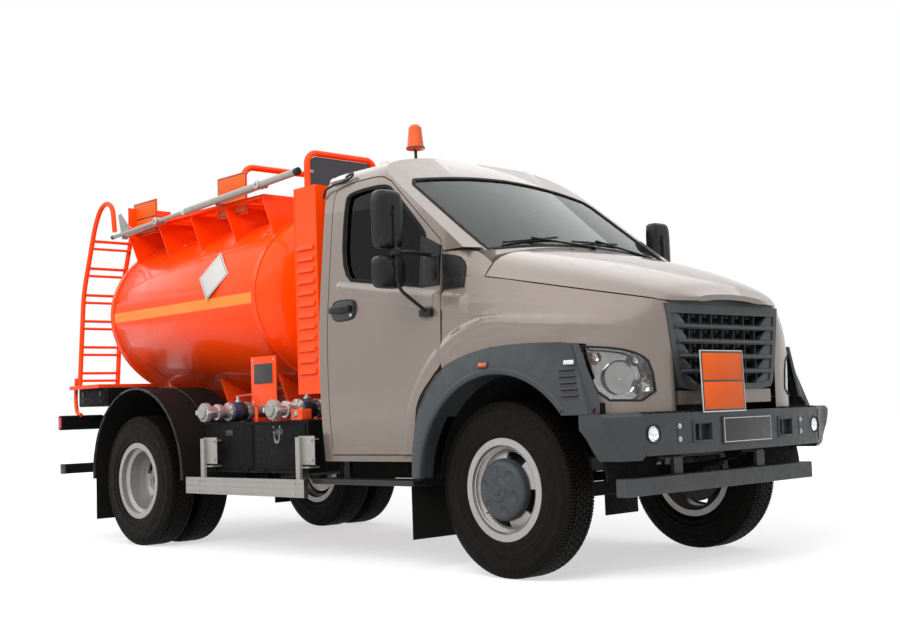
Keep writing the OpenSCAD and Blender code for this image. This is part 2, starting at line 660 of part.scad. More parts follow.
// Headlamp outline across the corner of the nose: u runs towards the middle, v is height
lamp_points = rounded([[-271, 1252], [-205, 962], [138, 953], [112, 1150], [50, 1200], [-60, 1232],
    [-271, 1252]], 1);
module lamp_prism(grow) {
    translate([700, 785, 0]) rotate([0, 0, 45]) rotate([90, 0, 90]) translate([-60, 0,
        -420]) linear_extrude(height = 620)
        offset(delta = grow) mirror([1, 0]) translate([60 - 60, 0]) polygon(lamp_points);
}
grille_top = 1472;
grille_low = 1000;
module grille_outline() {
    polygon(rounded([[0, grille_top], [542, grille_top], [542, grille_top], [470, grille_low + 60],
        [420, grille_low], [0, grille_low], [-420, grille_low],
        [-470, grille_low + 60], [-542, grille_top], [-542, grille_top], [0, grille_top]], 1));
}
module flare_outline() {
    polygon(concat(rounded([[-648, 545], [-648, 800], [-600, 1010], [-420, 1185], [-200, 1250], [60,
        1284], [400, 1284], [586, 1262]], 1),
        [[684, 955], [708, 890], [700, 700], [640, 640]]));
}
// Upper rear corner of a wing, which carries on from the bonnet's rear edge to the foot of the screen pillar
corner_rows = [
    [-404, 997, 1862, 998, 1790, 991.5, 1712, 990, 1650],
    [-300, 972, 1858, 984, 1785, 984.5, 1703, 983, 1640],
    [-200, 905, 1846, 950, 1780, 977, 1695, 975, 1630],
    [-95, 899, 1768, 938, 1730, 969, 1686, 967, 1620]];
function corner_chain(r, t) = rounded([for (i = [0:3]) [r[2 * i + 1] - t * 0.75,
    r[2 * i + 2] - t * 0.65]], 1);
module wing_corner() {
    rows = smooth_rows(corner_rows, 2);
    panel([for (r = rows) ring_at(r[0], corner_chain(r, 0))], [for (r = rows) ring_at(r[0],
        corner_chain(r, wing_t))]);
}
module front_wings() {
    color(beige) both() difference() {
        union() {
            wing_skin(wing_t);
            wing_corner();
            block([-395, cab_half - 46 + eps, 1290], [-345, cab_half - 24, 1310]);
        }
        translate([arch_x, 0, arch_z]) along_y(0, 1300, arch_r + 12 + eps);
        xz(cab_half - 140, cab_half + 60) offset(delta = 1) flare_outline();
        lamp_prism(0);
        yz(500, 900) grille_outline();
        block([-420, 600, 0], [-door_front + 4, 1200, 2000]);
    }
    color(beige) block([790, -440, 925], [826, 440, grille_low]);
}
module arch_flares() {
    rim = flare_half;
    color(dark_grey) both() intersection() {
        difference() {
            xz(cab_half - 120, flare_half + 1) flare_outline();
            translate([arch_x, 0, arch_z]) along_y(cab_half - 200, flare_half + 10, arch_r);
            lamp_prism(0);
            block([0, 0, 0], [900, 1300, bumper_top + 5]);
            block([-2000, 0, 0], [-door_front, cab_half - 40, 2000]);
        }
        translate([arch_x, 0, arch_z]) about_y() polygon([[arch_r - 1, cab_half - 110], [arch_r - 1,
            rim], [arch_r + 40, rim],
            [arch_r + 200, cab_half + 6], [arch_r + 340, cab_half + 6], [arch_r + 340, cab_half - 6],
                [arch_r + 40, cab_half - 10], [arch_r + 22, cab_half - 110]]);
    }
}
module arch_liners() {
    color(black) both() translate([arch_x, 0, arch_z]) difference() {
        along_y(rail_y + 60, cab_half - 112, arch_r + 12);
        along_y(rail_y, cab_half, arch_r);
        block([-900, 0, -900], [900, 1200, 40]);
    }
}
module grille() {
    x0 = 760;
    bars = 5;
    pitch = (grille_top - grille_low - 60) / bars;
    color(black) difference() {
        yz(x0, 836) offset(delta = -eps) grille_outline();
        for (i = [0:bars - 1]) yz(x0 + 18, 900) intersection() {
            offset(delta = -34) grille_outline();
            translate([-600, grille_low + 34 + i * pitch]) square([1200, pitch - 26]);
        }
        for (i = [0:bars - 1], j = [-4:4]) block([x0 - 1, j * 96 - 40, grille_low + 46 + i * pitch],
            [x0 + 30, j * 96 + 40, grille_low + i * pitch + pitch - 6]);
    }
}
module headlamps() {
    color([0.8, 0.85, 0.9]) both() intersection() {
        wing_skin(120);
        lamp_prism(-eps);
    }
}
bumper_r = 3200;
module bumper_plan(t) {
    half = bumper_w / 2;
    polygon(concat([[front_overhang, 0], [front_overhang - 12, 400], [front_overhang - 50, 800],
        [front_overhang - 76, 880]],
        rounded([[front_overhang - 76, 880], [front_overhang - 110, half - 60], [front_overhang - 300,
            half]], 2),
        [[front_overhang - 330, half], [front_overhang - 330, half - t], [front_overhang - 300, half - t]],
        rounded([[front_overhang - 300, half - t], [front_overhang - 120 - t, half - 70 - t],
            [front_overhang - 90 - t, 860]], 2),
        [[front_overhang - 64 - t, 780], [front_overhang - 20 - t, 400], [front_overhang - 6 - t, 0]]));
}
module front_bumper() {
    t = 62;
    color(dark_grey) difference() {
        union() {
            both() translate([0, 0,
                bumper_bottom]) linear_extrude(height = bumper_top - bumper_bottom) bumper_plan(t);
            both() block([frame_front + eps, rail_mid - 30, rail_bottom + 20], [front_overhang - 60,
                rail_mid + 30, rail_top - 20]);
        }
        both() block([front_overhang - 46, 330, bumper_bottom + 62], [front_overhang + 10, 470,
            bumper_bottom + 152]);
        both() translate([0, 776, bumper_bottom + 112]) along_x(front_overhang - 110,
            front_overhang + 10, 42);
    }
}
bar_x = 800;
module guard_bar() {
    color(dark_grey) union() {
        block([bar_x - 70, -bar_l / 2, 459], [bar_x, bar_l / 2, 554]);
        both() block([bar_x - 60, rail_mid - 40, 553], [bar_x - 36, rail_mid + 40, rail_bottom - eps]);
        both() block([bar_x - 140, rail_mid - 40, rail_bottom - 12], [bar_x - 36, rail_mid + 40,
            rail_bottom - eps]);
    }
}
module cab_steps() {
    color(black) both() union() {
        block([-1640, cab_half - 190, 500], [-664, cab_half + 24, 532]);
        for (x = [-1500, -800]) block([x - 30, cab_half - 190, 500], [x + 30, cab_half - 150, sill_z + 40]);
        for (x = [-1500, -800]) block([x - 30, rail_y + eps, 670], [x + 30, cab_half - 150, 700]);
    }
}
module beacon() {
    translate([beacon_x, beacon_y, 0]) {
        color(black) translate([0, 0, roof_z - 90]) cylinder(r = beacon_r, h = 185, $fn = 32);
        color(black) translate([0, 0, 2697]) cylinder(r = 62, h = 18, $fn = 48);
        color(orange) translate([0, 0, 2715]) cylinder(r1 = 56, r2 = 44, h = 130, $fn = 48);
        color(orange) translate([0, 0, 2844]) cylinder(r1 = 44, r2 = 30, h = 18, $fn = 48);
    }
}

// Tank: a convex oval shell with dished ends
function oval(w, h, n = 72) = [for (i = [0:n - 1]) [w / 2 * cos(i * 360 / n), h / 2 * sin(i * 360 / n)]];
// Dish of the ends: share of the depth, share of the width
dish = [[1, 0.1], [0.96, 0.36], [0.85, 0.62], [0.62, 0.83], [0.32, 0.95], [0, 1]];
module tank() {
    rings = concat([for (d = dish) [tank_rear - head_depth * d[0], d[1]]],
        [for (d = reversed(dish)) [tank_front + head_depth * d[0], d[1]]]);
    color(orange) translate([0, 0, tank_z]) loft([for (r = rings) [for (q = oval(tank_w * r[1],
        tank_h * r[1])) [r[0], q[0], q[1]]]]);
}
band_t = 8;
module tank_bands() {
    color(orange) for (x = [tank_rear, tank_front - 46]) translate([0, 0, tank_z]) yz(x,
        x + 46) difference() {
        polygon(oval(tank_w + 2 * band_t, tank_h + 2 * band_t));
        polygon(oval(tank_w + 2 * eps, tank_h + 2 * eps));
    }
}
saddle_y = rail_mid;
module tank_saddles() {
    top = tank_z - 180;
    color(orange) difference() {
        union() {
            both() block([tank_rear - 60, rail_y - rail_flange, rail_top + eps], [tank_front + 120,
                rail_y, rail_top + sub_h]);
            for (i = [0:2]) let (x = tank_rear + 260 + i * (tank_l - 520) / 2)
                yz(x - 14, x + 14) polygon([[-rail_y, rail_top + sub_h - 1], [rail_y,
                    rail_top + sub_h - 1], [rail_y + 260, top], [-rail_y - 260, top]]);
        }
        translate([0, 0, tank_z]) yz(tank_rear - 200, tank_front + 200) polygon(oval(tank_w + 2 * eps,
            tank_h + 2 * eps));
    }
}
deck_z = tank_top + 14;
deck_half = 800;
module walkway() {
    neck = tank_top - 60;
    x0 = tank_rear + 60;
    x1 = tank_front - 60;
    color(orange) difference() {
        union() {
            difference() {
                block([x0, -deck_half, deck_z], [x1, deck_half, deck_z + 26]);
                for (x = [x0 + 60:120:x1 - 120], y = [-1, 1]) let (m = y * (deck_half - 240)) block([x, m - 170, deck_z - 1],
                    [x + 84, m + 170, deck_z + 40]);
            }
            for (i = [0:4], y = [-1, 1]) let (x = x0 + 8 + i * (x1 - x0 - 16) / 4)
                yz(x - 5, x + 5) polygon([[y * 330, deck_z + 1], [y * deck_half, deck_z + 1],
                    [y * deck_half, deck_z - 30], [y * 690, tank_z + 380], [y * 500, tank_z + 400]]);
            translate([tank_mid, 0, neck]) cylinder(d = hatch_d, h = deck_z + 62 - neck, $fn = 96);
            for (p = rail_base) translate([p[0], 0, p[1]]) along_y(post_y - 16, -deck_half + 10, 9);
        }
        translate([0, 0, tank_z]) yz(tank_rear - 300, tank_front + 300) polygon(oval(tank_w + 2 * eps,
            tank_h + 2 * eps));
        translate([tank_mid, 0, neck - 1]) cylinder(d = hatch_d - 24, h = 400, $fn = 96);
    }
}
lid_z = deck_z + 62 + eps;
lid_hinge_x = tank_mid - hatch_d / 2 - 44;
lid_hinge_z = lid_z + 14;
module hatch_lid() {
    color(orange) union() {
        translate([tank_mid, 0, lid_z]) cylinder(d = hatch_d + 30, h = 22, $fn = 96);
        translate([tank_mid, 0, lid_z + 21]) cylinder(d1 = hatch_d - 120, d2 = hatch_d - 260, h = 26,
            $fn = 96);
        block([lid_hinge_x - 4, -60, lid_z], [tank_mid - hatch_d / 2 + 40, 60, lid_z + 22]);
        translate([lid_hinge_x, 0, lid_hinge_z]) along_y(-60, 60, 14);
    }
}
hoop_r = 24;
module hoop(x, half, top) {
    bend = 90;
    base = deck_z + 26 + eps;
    color(orange) union() {
        both() bar([x, half, base], [x, half, top - bend], hoop_r);
        bar([x, -half + bend, top], [x, half - bend, top], hoop_r);
        both() translate([x, half - bend, top - bend]) rotate([90, 0, 90]) rotate_extrude(angle = 90,
            $fn = 64) translate([bend, 0]) circle(r = hoop_r, $fn = 32);
    }
}
module guard_hoops() {
    hoop(tank_front - 160, 330, deck_z + 400);
    hoop(tank_rear + 1422, 580, deck_z + 340);
}
// Folding hand rail on the right edge of the walkway: two posts and a rail that keeps its slope
rail_base = [[tank_rear + 60, deck_z - 44], [tank_rear + 1450, deck_z + 31]];
post_l = 600;
post_tilt = 4;
post_y = -deck_half - 26;
rail_tube_y = post_y - 50;
function post_top(p) = p + post_l * [cos(post_tilt), sin(post_tilt)];
module rail_post(p) {
    t = post_top(p);
    color(silver) difference() {
        union() {
            translate([p[0], 0, p[1]]) along_y(post_y - 14, post_y + 14, 24);
            bar([p[0], post_y, p[1]], [t[0], post_y, t[1]], 12);
            translate([t[0], 0, t[1]]) along_y(post_y - 14, post_y + 14, 20);
            translate([t[0], 0, t[1]]) along_y(rail_tube_y - 16, post_y, 8);
        }
        translate([p[0], 0, p[1]]) along_y(post_y - 20, post_y + 20, 9 + eps);
    }
}
module hand_rail() {
    a = post_top(rail_base[0]);
    b = post_top(rail_base[1]);
    slope = (b[1] - a[1]) / (b[0] - a[0]);
    function on_rail(x) = [x, rail_tube_y, a[1] + slope * (x - a[0])];
    color(silver) difference() {
        union() {
            bar(on_rail(tank_rear - 60), on_rail(tank_mid + 60), 16);
            bar(on_rail(tank_mid + 40), on_rail(tank_front + 460), 25);
            for (p = [a, b]) translate([p[0], 0, p[1]]) along_y(rail_tube_y - 27, rail_tube_y + 27, 30);
        }
        for (p = [a, b]) translate([p[0], 0, p[1]]) along_y(rail_tube_y - 30, rail_tube_y + 30, 8 + eps);
    }
}
cabinet_x0 = cab_x - 340;
cabinet_x1 = cab_x - 100;
cabinet_top = tank_top - 30;
module pump_cabinet() {
    half = 950;
    z0 = 1080;
    color(orange) difference() {
        union() {
            block([cabinet_x0, -half, z0], [cabinet_x1, half, cabinet_top]);
            both() block([cabinet_x0 + 30, rail_y - rail_flange, rail_top + eps], [cabinet_x1 - 30,
                rail_y, z0 + 1]);
            // louvre ribs on both sides
            for (i = [0:11]) both() translate([0, 0, z0 + 130 + i * 75]) yz(cabinet_x0 + 30,
                cabinet_x1 - 30)
                polygon([[half - 1, 0], [half + 16, 0], [half + 16, 10], [half - 1, 40]]);
        }
        both() block([cabinet_x0 + 12, half - 40, z0 + 20], [cabinet_x0 + 16, half + 20, cabinet_top - 40]);
    }
}
pipe_x = [tank_front - 450, tank_front + 380];
pipe_z = 985;
pipe_end = 1085;
// Lockers' top, which carries the pipes' stands
locker_top = 908;
module delivery_pipes() {
    color(silver) difference() {
        for (x = pipe_x) translate([x, 0, pipe_z]) mirror([0, 1, 0]) union() {
            along_y(500, pipe_end - 40, pipe_d / 2);
            along_y(pipe_end - 41, pipe_end, pipe_d / 2 + 14);
            along_y(860, 884, pipe_d / 2 + 22);
            along_y(700, 724, pipe_d / 2 + 22);
            block([-30, 765, locker_top + eps - pipe_z], [30, 790, 0]);
            translate([0, 500, 0]) sphere(r = pipe_d / 2, $fn = 48);
            translate([0, 500, 0]) cylinder(r = pipe_d / 2,
                h = x < tank_front ? tank_oval_z(500) - pipe_z + 60 : 140, $fn = 48);
        }
        translate([0, 0, tank_z]) yz(tank_rear - 300, tank_front + 300) polygon(oval(tank_w + 2 * eps,
            tank_h + 2 * eps));
    }
}
function tank_oval_z(y) = tank_z - tank_h / 2 * sqrt(1 - pow(2 * y / tank_w, 2));
// Ladder at the right of the tank's rear end
ladder_y = [-790, -430];
ladder_r = 16;
ladder_foot = 1262;
function ladder_path() = [[tail_x + 20, ladder_foot + 2], [tail_x + 110, 2060], [tail_x + 330, 2620],
    [tail_x + 430, 2760], [tail_x + 545, 2800], [tail_x + 640, 2740], [tail_x + 668, deck_z + 28]];
// A path made into a flat ribbon of half width r
function path_normal(p, i) = let (a = p[max(i - 1, 0)], b = p[min(i + 1, len(p) - 1)],
    d = (b - a) / norm(b - a)) [-d[1], d[0]];
function ribbon(p, r) = concat([for (i = [0:len(p) - 1]) p[i] + r * path_normal(p, i)],
    [for (i = [len(p) - 1:-1:0]) p[i] - r * path_normal(p, i)]);
module ladder() {
    p = ladder_path();
    rungs = 6;
    color(orange) union() {
        for (y = ladder_y) xz(y - ladder_r, y + ladder_r) polygon(ribbon(p, ladder_r));
        for (k = [0:rungs - 1]) let (t = (k + 0.5) / rungs, z = ladder_foot + t * 1350,
            x = z < p[1][1] ? p[0][0] + (p[1][0] - p[0][0]) * (z - p[0][1]) / (p[1][1] - p[0][1]) : p[1][0] + (p[2][0] - p[1][0]) * (z - p[1][1]) / (p[2][1] - p[1][1]))
            translate([x, 0, z]) along_y(ladder_y[0], ladder_y[1], 12);
    }
}
module tail_platform() {
    color(orange) union() {
        block([tail_x, -880, ladder_foot - 32], [tank_rear - 330, 880, ladder_foot - eps]);
        both() block([tail_x + 120, rail_y - 60, rail_top + eps], [tail_x + 170, rail_y, ladder_foot - 31]);
        both() block([tail_x + 420, rail_y - 60, rail_top + eps], [tail_x + 470, rail_y, ladder_foot - 31]);
    }
}
tail_lamp_z = 950;
tail_half = 985;
module tail_beam() {
    color(black) union() {
        block([tail_x, -tail_half, tail_lamp_z - 55], [tail_x + 70, tail_half, tail_lamp_z + 55]);
        both() block([tail_x + 69, rail_y + eps, tail_lamp_z - 45], [tail_x + 100, rail_y + 60,
            tail_lamp_z + 45]);
        both() block([tail_x + 60, rail_y + eps, rail_top - 60], [frame_tail + 120, rail_y + 20,
            tail_lamp_z + 20]);
        block([tail_x + 40, -tail_half, 520], [tail_x + 130, tail_half, 600]);
        both() block([tail_x + 60, rail_y + eps, 560], [tail_x + 130, rail_y + 30, rail_top - 40]);
    }
}
guard_cx = rear_x + 40;
guard_cz = axle_z + 40;
guard_r = 652;
module mudguards() {
    color(black) both() {
        translate([guard_cx, 0, guard_cz]) difference() {
            along_y(rear_y - 262, rear_y + 290, guard_r + 10);
            along_y(rear_y - 270, rear_y + 300, guard_r);
            block([-900, 0, -900], [900, 1300, -30]);
        }
        block([guard_cx - guard_r - 9, rear_y - 240, 180], [guard_cx - guard_r - 1, rear_y + 270,
            guard_cz - 25]);
        both_stays();
        block([-684, cab_half - 330, 190], [-676, cab_half + 20, 500 - eps]);
    }
}
module both_stays() {
    for (a = [35, 145]) translate([guard_cx + guard_r * cos(a), 0,
        guard_cz + guard_r * sin(a)]) along_y(rail_y + eps, rear_y - 255, 18);
}
// the lockers start a clearance ahead of the mudguards
locker_back = guard_cx + guard_r + 98;
module side_lockers() {
    color(black) both() union() {
        block([locker_back, 520, 560], [cab_x - 190, cab_half - 40, locker_top]);
        for (x = [locker_back + 220, cab_x - 400]) block([x - 30, rail_y + eps, 680], [x + 30, 521, 740]);
    }
}
module side_guards() {
    y = 1128;
    color(silver) both() union() {
        block([locker_back - 55, y - 30, 415], [cab_x - 70, y, 530]);
        for (x = [locker_back + 120, cab_x - 170]) {
            block([x - 22, y - 50, 420], [x + 22, y - 29, 800]);
            block([x - 22, cab_half - 40 + eps, 600], [x + 90, y - 49, 610]);
            block([x - 22, cab_half - 40 + eps, 780], [x + 90, y - 49, 790]);
        }
    }
}

at_axle() frame();
at_axle() cross_members();
at_axle() front_axle();
at_axle() rear_axle();
at_axle() leaf_springs();
at_axle() engine();
at_axle() drive_shaft();
at_axle() mirror([0, 1, 0]) knuckle();  // knuckle_right
at_axle() knuckle();  // knuckle_left
at_axle() tie_rod();
at_axle() mirror([0, 1, 0]) front_wheel_place() tyre();  // tyre_front_right
at_axle() front_wheel_place() tyre();  // tyre_front_left
at_axle() mirror([0, 1, 0]) rear_wheel_place() tyres_rear();  // tyres_rear_right
at_axle() rear_wheel_place() tyres_rear();  // tyres_rear_left
at_axle() mirror([0, 1, 0]) front_wheel_place() rim_front();  // rim_front_right
at_axle() front_wheel_place() rim_front();  // rim_front_left
at_axle() mirror([0, 1, 0]) rear_wheel_place() rims_rear();  // rims_rear_right
at_axle() rear_wheel_place() rims_rear();  // rims_rear_left
at_axle() mirror([0, 1, 0]) front_wheel_place() hub_cap();  // hub_cap_right
at_axle() front_wheel_place() hub_cap();  // hub_cap_left
at_axle() cab_shell();
at_axle() windscreen();
at_axle() mirror([0, 1, 0]) door();  // door_right
at_axle() door();  // door_left
at_axle() mirror([0, 1, 0]) door_glass();  // door_glass_right
at_axle() door_glass();  // door_glass_left
at_axle() mirror([0, 1, 0]) mirrors();  // mirrors_right
at_axle() mirrors();  // mirrors_left
at_axle() seats();
at_axle() dashboard();
at_axle() steering_wheel();
at_axle() wipers();
at_axle() bonnet();
at_axle() bonnet_hinges();
at_axle() front_wings();
at_axle() arch_flares();
at_axle() arch_liners();
at_axle() grille();
at_axle() headlamps();
at_axle() front_bumper();
at_axle() guard_bar();
at_axle() cab_steps();
at_axle() beacon();
at_axle() tank();
at_axle() tank_bands();
at_axle() tank_saddles();
at_axle() walkway();
at_axle() hatch_lid();
at_axle() guard_hoops();
at_axle() rail_post(rail_base[0]);  // rail_post_rear
at_axle() rail_post(rail_base[1]);  // rail_post_front
at_axle() hand_rail();
at_axle() pump_cabinet();
at_axle() delivery_pipes();
at_axle() ladder();
at_axle() tail_platform();
at_axle() tail_beam();
at_axle() mudguards();
at_axle() side_lockers();
at_axle() side_guards();
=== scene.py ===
import json
import math
import bpy
import bmesh
from mathutils import Matrix, Vector
from mathutils.bvhtree import BVHTree


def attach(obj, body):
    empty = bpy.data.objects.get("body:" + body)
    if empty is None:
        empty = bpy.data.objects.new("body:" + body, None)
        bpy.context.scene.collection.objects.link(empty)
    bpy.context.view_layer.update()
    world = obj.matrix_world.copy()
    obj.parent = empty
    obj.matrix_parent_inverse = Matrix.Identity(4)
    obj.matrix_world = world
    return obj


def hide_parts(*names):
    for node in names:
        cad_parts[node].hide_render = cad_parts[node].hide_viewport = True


# the front axle lies this far ahead of the middle of the length
axleX = 2.175
wheelbase = 3.770
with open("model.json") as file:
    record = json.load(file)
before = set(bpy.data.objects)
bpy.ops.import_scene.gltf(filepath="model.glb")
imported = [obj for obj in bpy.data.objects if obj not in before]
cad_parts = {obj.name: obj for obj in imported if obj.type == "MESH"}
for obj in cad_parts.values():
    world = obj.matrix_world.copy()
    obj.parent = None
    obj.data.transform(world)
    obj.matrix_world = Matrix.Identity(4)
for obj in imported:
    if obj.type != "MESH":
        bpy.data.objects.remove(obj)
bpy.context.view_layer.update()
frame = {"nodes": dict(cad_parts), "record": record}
scene = bpy.context.scene
scene.view_settings.view_transform = "Standard"
print("frame loaded:", len(frame["nodes"]), "solids")


# a socket that takes Python maths and adds the Math nodes for it
class Wire:
    def __init__(self, finish, socket):
        self.finish = finish
        self.socket = socket

    def calc(self, operation, *others):
        return self.finish.node("ShaderNodeMath", {"operation": operation}, [self, *others])

    def __add__(self, other):
        return self.calc("ADD", other)

    __radd__ = __add__

    def __mul__(self, other):
        return self.calc("MULTIPLY", other)

    __rmul__ = __mul__

    def clamped(self):
        return self.finish.node("ShaderNodeClamp", {}, [self])


class Finish:
    def __init__(self, name, **fixed):
        self.material = bpy.data.materials.new(name)
        self.material.use_nodes = True
        self.tree = self.material.node_tree
        self.shader = self.tree.nodes["Principled BSDF"]
        for socket, value in fixed.items():
            self.shader.inputs[socket.replace("_", " ")].default_value = value

    @classmethod
    def onTree(cls, tree):
        made = cls.__new__(cls)
        made.tree = tree
        return made

    def seenRay(self):
        # 1 for a ray from the camera, a mirror or glass
        rays = [self.node("ShaderNodeLightPath", {}, (), kind)
                for kind in ("Is Camera Ray", "Is Glossy Ray", "Is Transmission Ray")]
        return (rays[0] + rays[1] + rays[2]).clamped()

    # one method for every node: its settings first, then its sockets by place or name
    def node(self, kind, settings, inputs=(), out=0):
        made = self.tree.nodes.new(kind)
        for key, value in settings.items():
            setattr(made, key, value)
        pairs = inputs.items() if isinstance(inputs, dict) else enumerate(inputs)
        for key, value in pairs:
            if isinstance(value, Wire):
                self.tree.links.new(value.socket, made.inputs[key])
            elif value is not None:
                made.inputs[key].default_value = value
        return Wire(self, made.outputs[out])

    def place(self):
        return self.node("ShaderNodeTexCoord", {}, (), "Object")

    def axis(self, letter):
        return self.node("ShaderNodeSeparateXYZ", {}, [self.place()], letter)

    def noise(self, scale, detail=3.0, rough=0.55, stretch=None):
        where = self.place()
        if stretch:
            where = self.node("ShaderNodeMapping", {}, {"Vector": where, "Scale": stretch})
        return self.node("ShaderNodeTexNoise", {},
                         {"Vector": where, "Scale": scale, "Detail": detail, "Roughness": rough})

    def ease(self, wire, low, high, start=0.0, end=1.0):
        return self.node("ShaderNodeMapRange", {"interpolation_type": "SMOOTHSTEP"},
                         [wire, low, high, start, end])

    def blend(self, mask, one, two):
        def colour(c):
            return (*c, 1.0) if isinstance(c, tuple) and len(c) == 3 else c
        return self.node("ShaderNodeMix", {"data_type": "RGBA"},
                         {0: mask, 6: colour(one), 7: colour(two)}, 2)

    def bump(self, height, strength, distance=0.001):
        self.feed("Normal", self.node("ShaderNodeBump", {},
                                      {"Strength": strength, "Distance": distance, "Height": height}))

    def feed(self, socket, wire):
        self.tree.links.new(wire.socket, self.shader.inputs[socket])


# finishes, all procedural
def scaled(colour, share):
    return tuple(c * share for c in colour)


def lowDustAndShade(finish, plainTone, patchTone, low, high, amount):
    # road dust settles low down and in patches; where a darker tone is passed in, as on the cab and tank
    # paint, it is painted shade
    patch = finish.noise(3.5, 5.0, 0.6)
    height = finish.ease(finish.axis("Z"), low, high, 1.0, 0.0)
    return finish.blend((height * patch * amount * 2.0).clamped(), plainTone, patchTone)


def makeCabPaint():
    f = Finish("cabPaint", Coat_Roughness=0.04, IOR=1.5, Metallic=0.35)
    flake = f.noise(900.0, 1.0, 0.5)
    broad = f.noise(1.3, 2.0)
    base = f.blend(flake, (0.150, 0.120, 0.100), (0.195, 0.158, 0.133))
    base = f.blend(broad * 0.25, base, (0.162, 0.131, 0.111))
    # darker, warmer tone low on the doors: painted shade
    f.feed("Base Color", lowDustAndShade(f, base, (0.14, 0.112, 0.09), 0.6, 1.0, 0.5))
    f.feed("Roughness", f.ease(f.noise(14.0, 4.0), 0.3, 0.7, 0.30, 0.40))
    f.feed("Coat Weight", f.ease(f.axis("Z"), 0.6, 1.1, 0.4, 0.8))
    f.bump(f.noise(260.0, 2.0), 0.03, 0.0002)
    return f.material


def makeTankPaint():
    f = Finish("tankPaint", Coat_Roughness=0.05, IOR=1.5, Specular_IOR_Level=0.12)
    broad = f.noise(1.1, 3.0)
    fine = f.noise(420.0, 2.0)
    base = f.blend(broad, (0.96, 0.060, 0.001), (0.90, 0.050, 0.001))
    # darker orange low on the tank and its fittings: painted shade
    f.feed("Base Color", lowDustAndShade(f, base, (0.45, 0.09, 0.03), 0.9, 1.5, 0.35))
    f.feed("Roughness", f.ease(f.noise(9.0, 4.0), 0.3, 0.7, 0.26, 0.36))
    f.feed("Coat Weight", f.ease(f.noise(2.0, 2.0), 0.3, 0.7, 0.20, 0.30))
    f.bump(fine, 0.03, 0.0005)
    return f.material


def makeChassisBlack():
    f = Finish("chassisBlack", IOR=1.45, Specular_IOR_Level=0.09)
    base = f.blend(f.noise(40.0, 4.0), (0.0035, 0.0035, 0.004), (0.007, 0.007, 0.0075))
    f.feed("Base Color", lowDustAndShade(f, base, (0.016, 0.0135, 0.0115), 0.1, 1.0, 0.5))
    f.feed("Roughness", f.ease(f.noise(25.0, 4.0), 0.3, 0.7, 0.42, 0.68))
    f.bump(f.noise(180.0, 4.0), 0.12, 0.0008)
    return f.material


def makeGreyPlastic(name, one, two, rough, shine=0.5):
    f = Finish(name, IOR=1.48, Specular_IOR_Level=shine)
    base = f.blend(f.noise(30.0, 4.0), one, two)
    f.feed("Base Color", lowDustAndShade(f, base, (0.050, 0.046, 0.043), 0.4, 0.9, 0.3))
    f.feed("Roughness", f.ease(f.noise(22.0, 3.0), 0.3, 0.7, rough - 0.06, rough + 0.08))
    f.bump(f.noise(700.0, 3.0), 0.16, 0.0006)   # moulded grain
    return f.material


def makeRubber(name, base, patchTone, amount, shine=0.07):
    f = Finish(name, IOR=1.5, Specular_IOR_Level=shine)
    tone = f.blend(f.noise(60.0, 5.0), base, scaled(base, 1.7))
    f.feed("Base Color", f.blend((f.noise(5.0, 6.0, 0.65) * amount).clamped(), tone, patchTone))
    f.feed("Roughness", f.ease(f.noise(35.0, 4.0), 0.3, 0.7, 0.50, 0.72))
    f.bump(f.noise(420.0, 3.0), 0.18, 0.0008)
    return f.material


def makeMetal(name, colour, rough, metallic=1.0, grain=None, wear=0.25):
    f = Finish(name, Metallic=metallic, IOR=1.5)
    f.feed("Base Color", f.blend(f.noise(12.0, 5.0, 0.6), colour, scaled(colour, 1.0 - wear)))
    streak = f.noise(55.0, 4.0, 0.6, grain)
    f.feed("Roughness", f.ease(streak, 0.25, 0.75, rough * 0.75, rough * 1.3))
    f.bump(streak, 0.05, 0.0005)
    return f.material


def makeGlass(name, tint, rough=0.015, bend=1.45):
    f = Finish(name, Transmission_Weight=1.0, IOR=bend)
    f.feed("Base Color", f.blend(f.noise(2.0, 2.0), tint, scaled(tint, 0.93)))
    f.feed("Roughness", f.ease(f.noise(6.0, 4.0), 0.4, 0.8, rough, rough + 0.02))
    return f.material


def makeLens(name, tint, weight):
    f = Finish(name, Transmission_Weight=weight, IOR=1.5)
    ribs = f.node("ShaderNodeTexWave", {"wave_type": "BANDS", "bands_direction": "Z"},
                  {"Vector": f.place(), "Scale": 70.0})
    f.feed("Base Color", f.blend(f.noise(40.0, 2.0), tint, scaled(tint, 0.85)))
    f.feed("Roughness", f.ease(f.noise(10.0, 3.0), 0.3, 0.7, 0.05, 0.12))
    f.bump(ribs, 0.25, 0.001)
    return f.material


def makeFlat(name, one, two, rough, scale=60.0, coat=0.0):
    f = Finish(name, Coat_Weight=coat, Coat_Roughness=0.05, IOR=1.5)
    f.feed("Base Color", f.blend(f.noise(scale, 4.0), one, two))
    f.feed("Roughness", f.ease(f.noise(scale * 0.7, 3.0), 0.3, 0.7, rough - 0.06, rough + 0.06))
    f.bump(f.noise(scale * 8.0, 2.0), 0.06, 0.0005)
    return f.material


def makeCloth():
    f = Finish("seatCloth", Sheen_Weight=0.25, Sheen_Roughness=0.5)
    warp = f.node("ShaderNodeTexWave", {"bands_direction": "Y"}, {"Vector": f.place(), "Scale": 220.0})
    weft = f.node("ShaderNodeTexWave", {"bands_direction": "Z"}, {"Vector": f.place(), "Scale": 220.0})
    weave = warp * weft
    f.feed("Base Color", f.blend(weave, (0.03, 0.03, 0.034), (0.075, 0.075, 0.085)))
    f.feed("Roughness", f.ease(weave, 0.0, 1.0, 0.8, 0.95))
    f.bump(weave, 0.3, 0.0008)
    return f.material


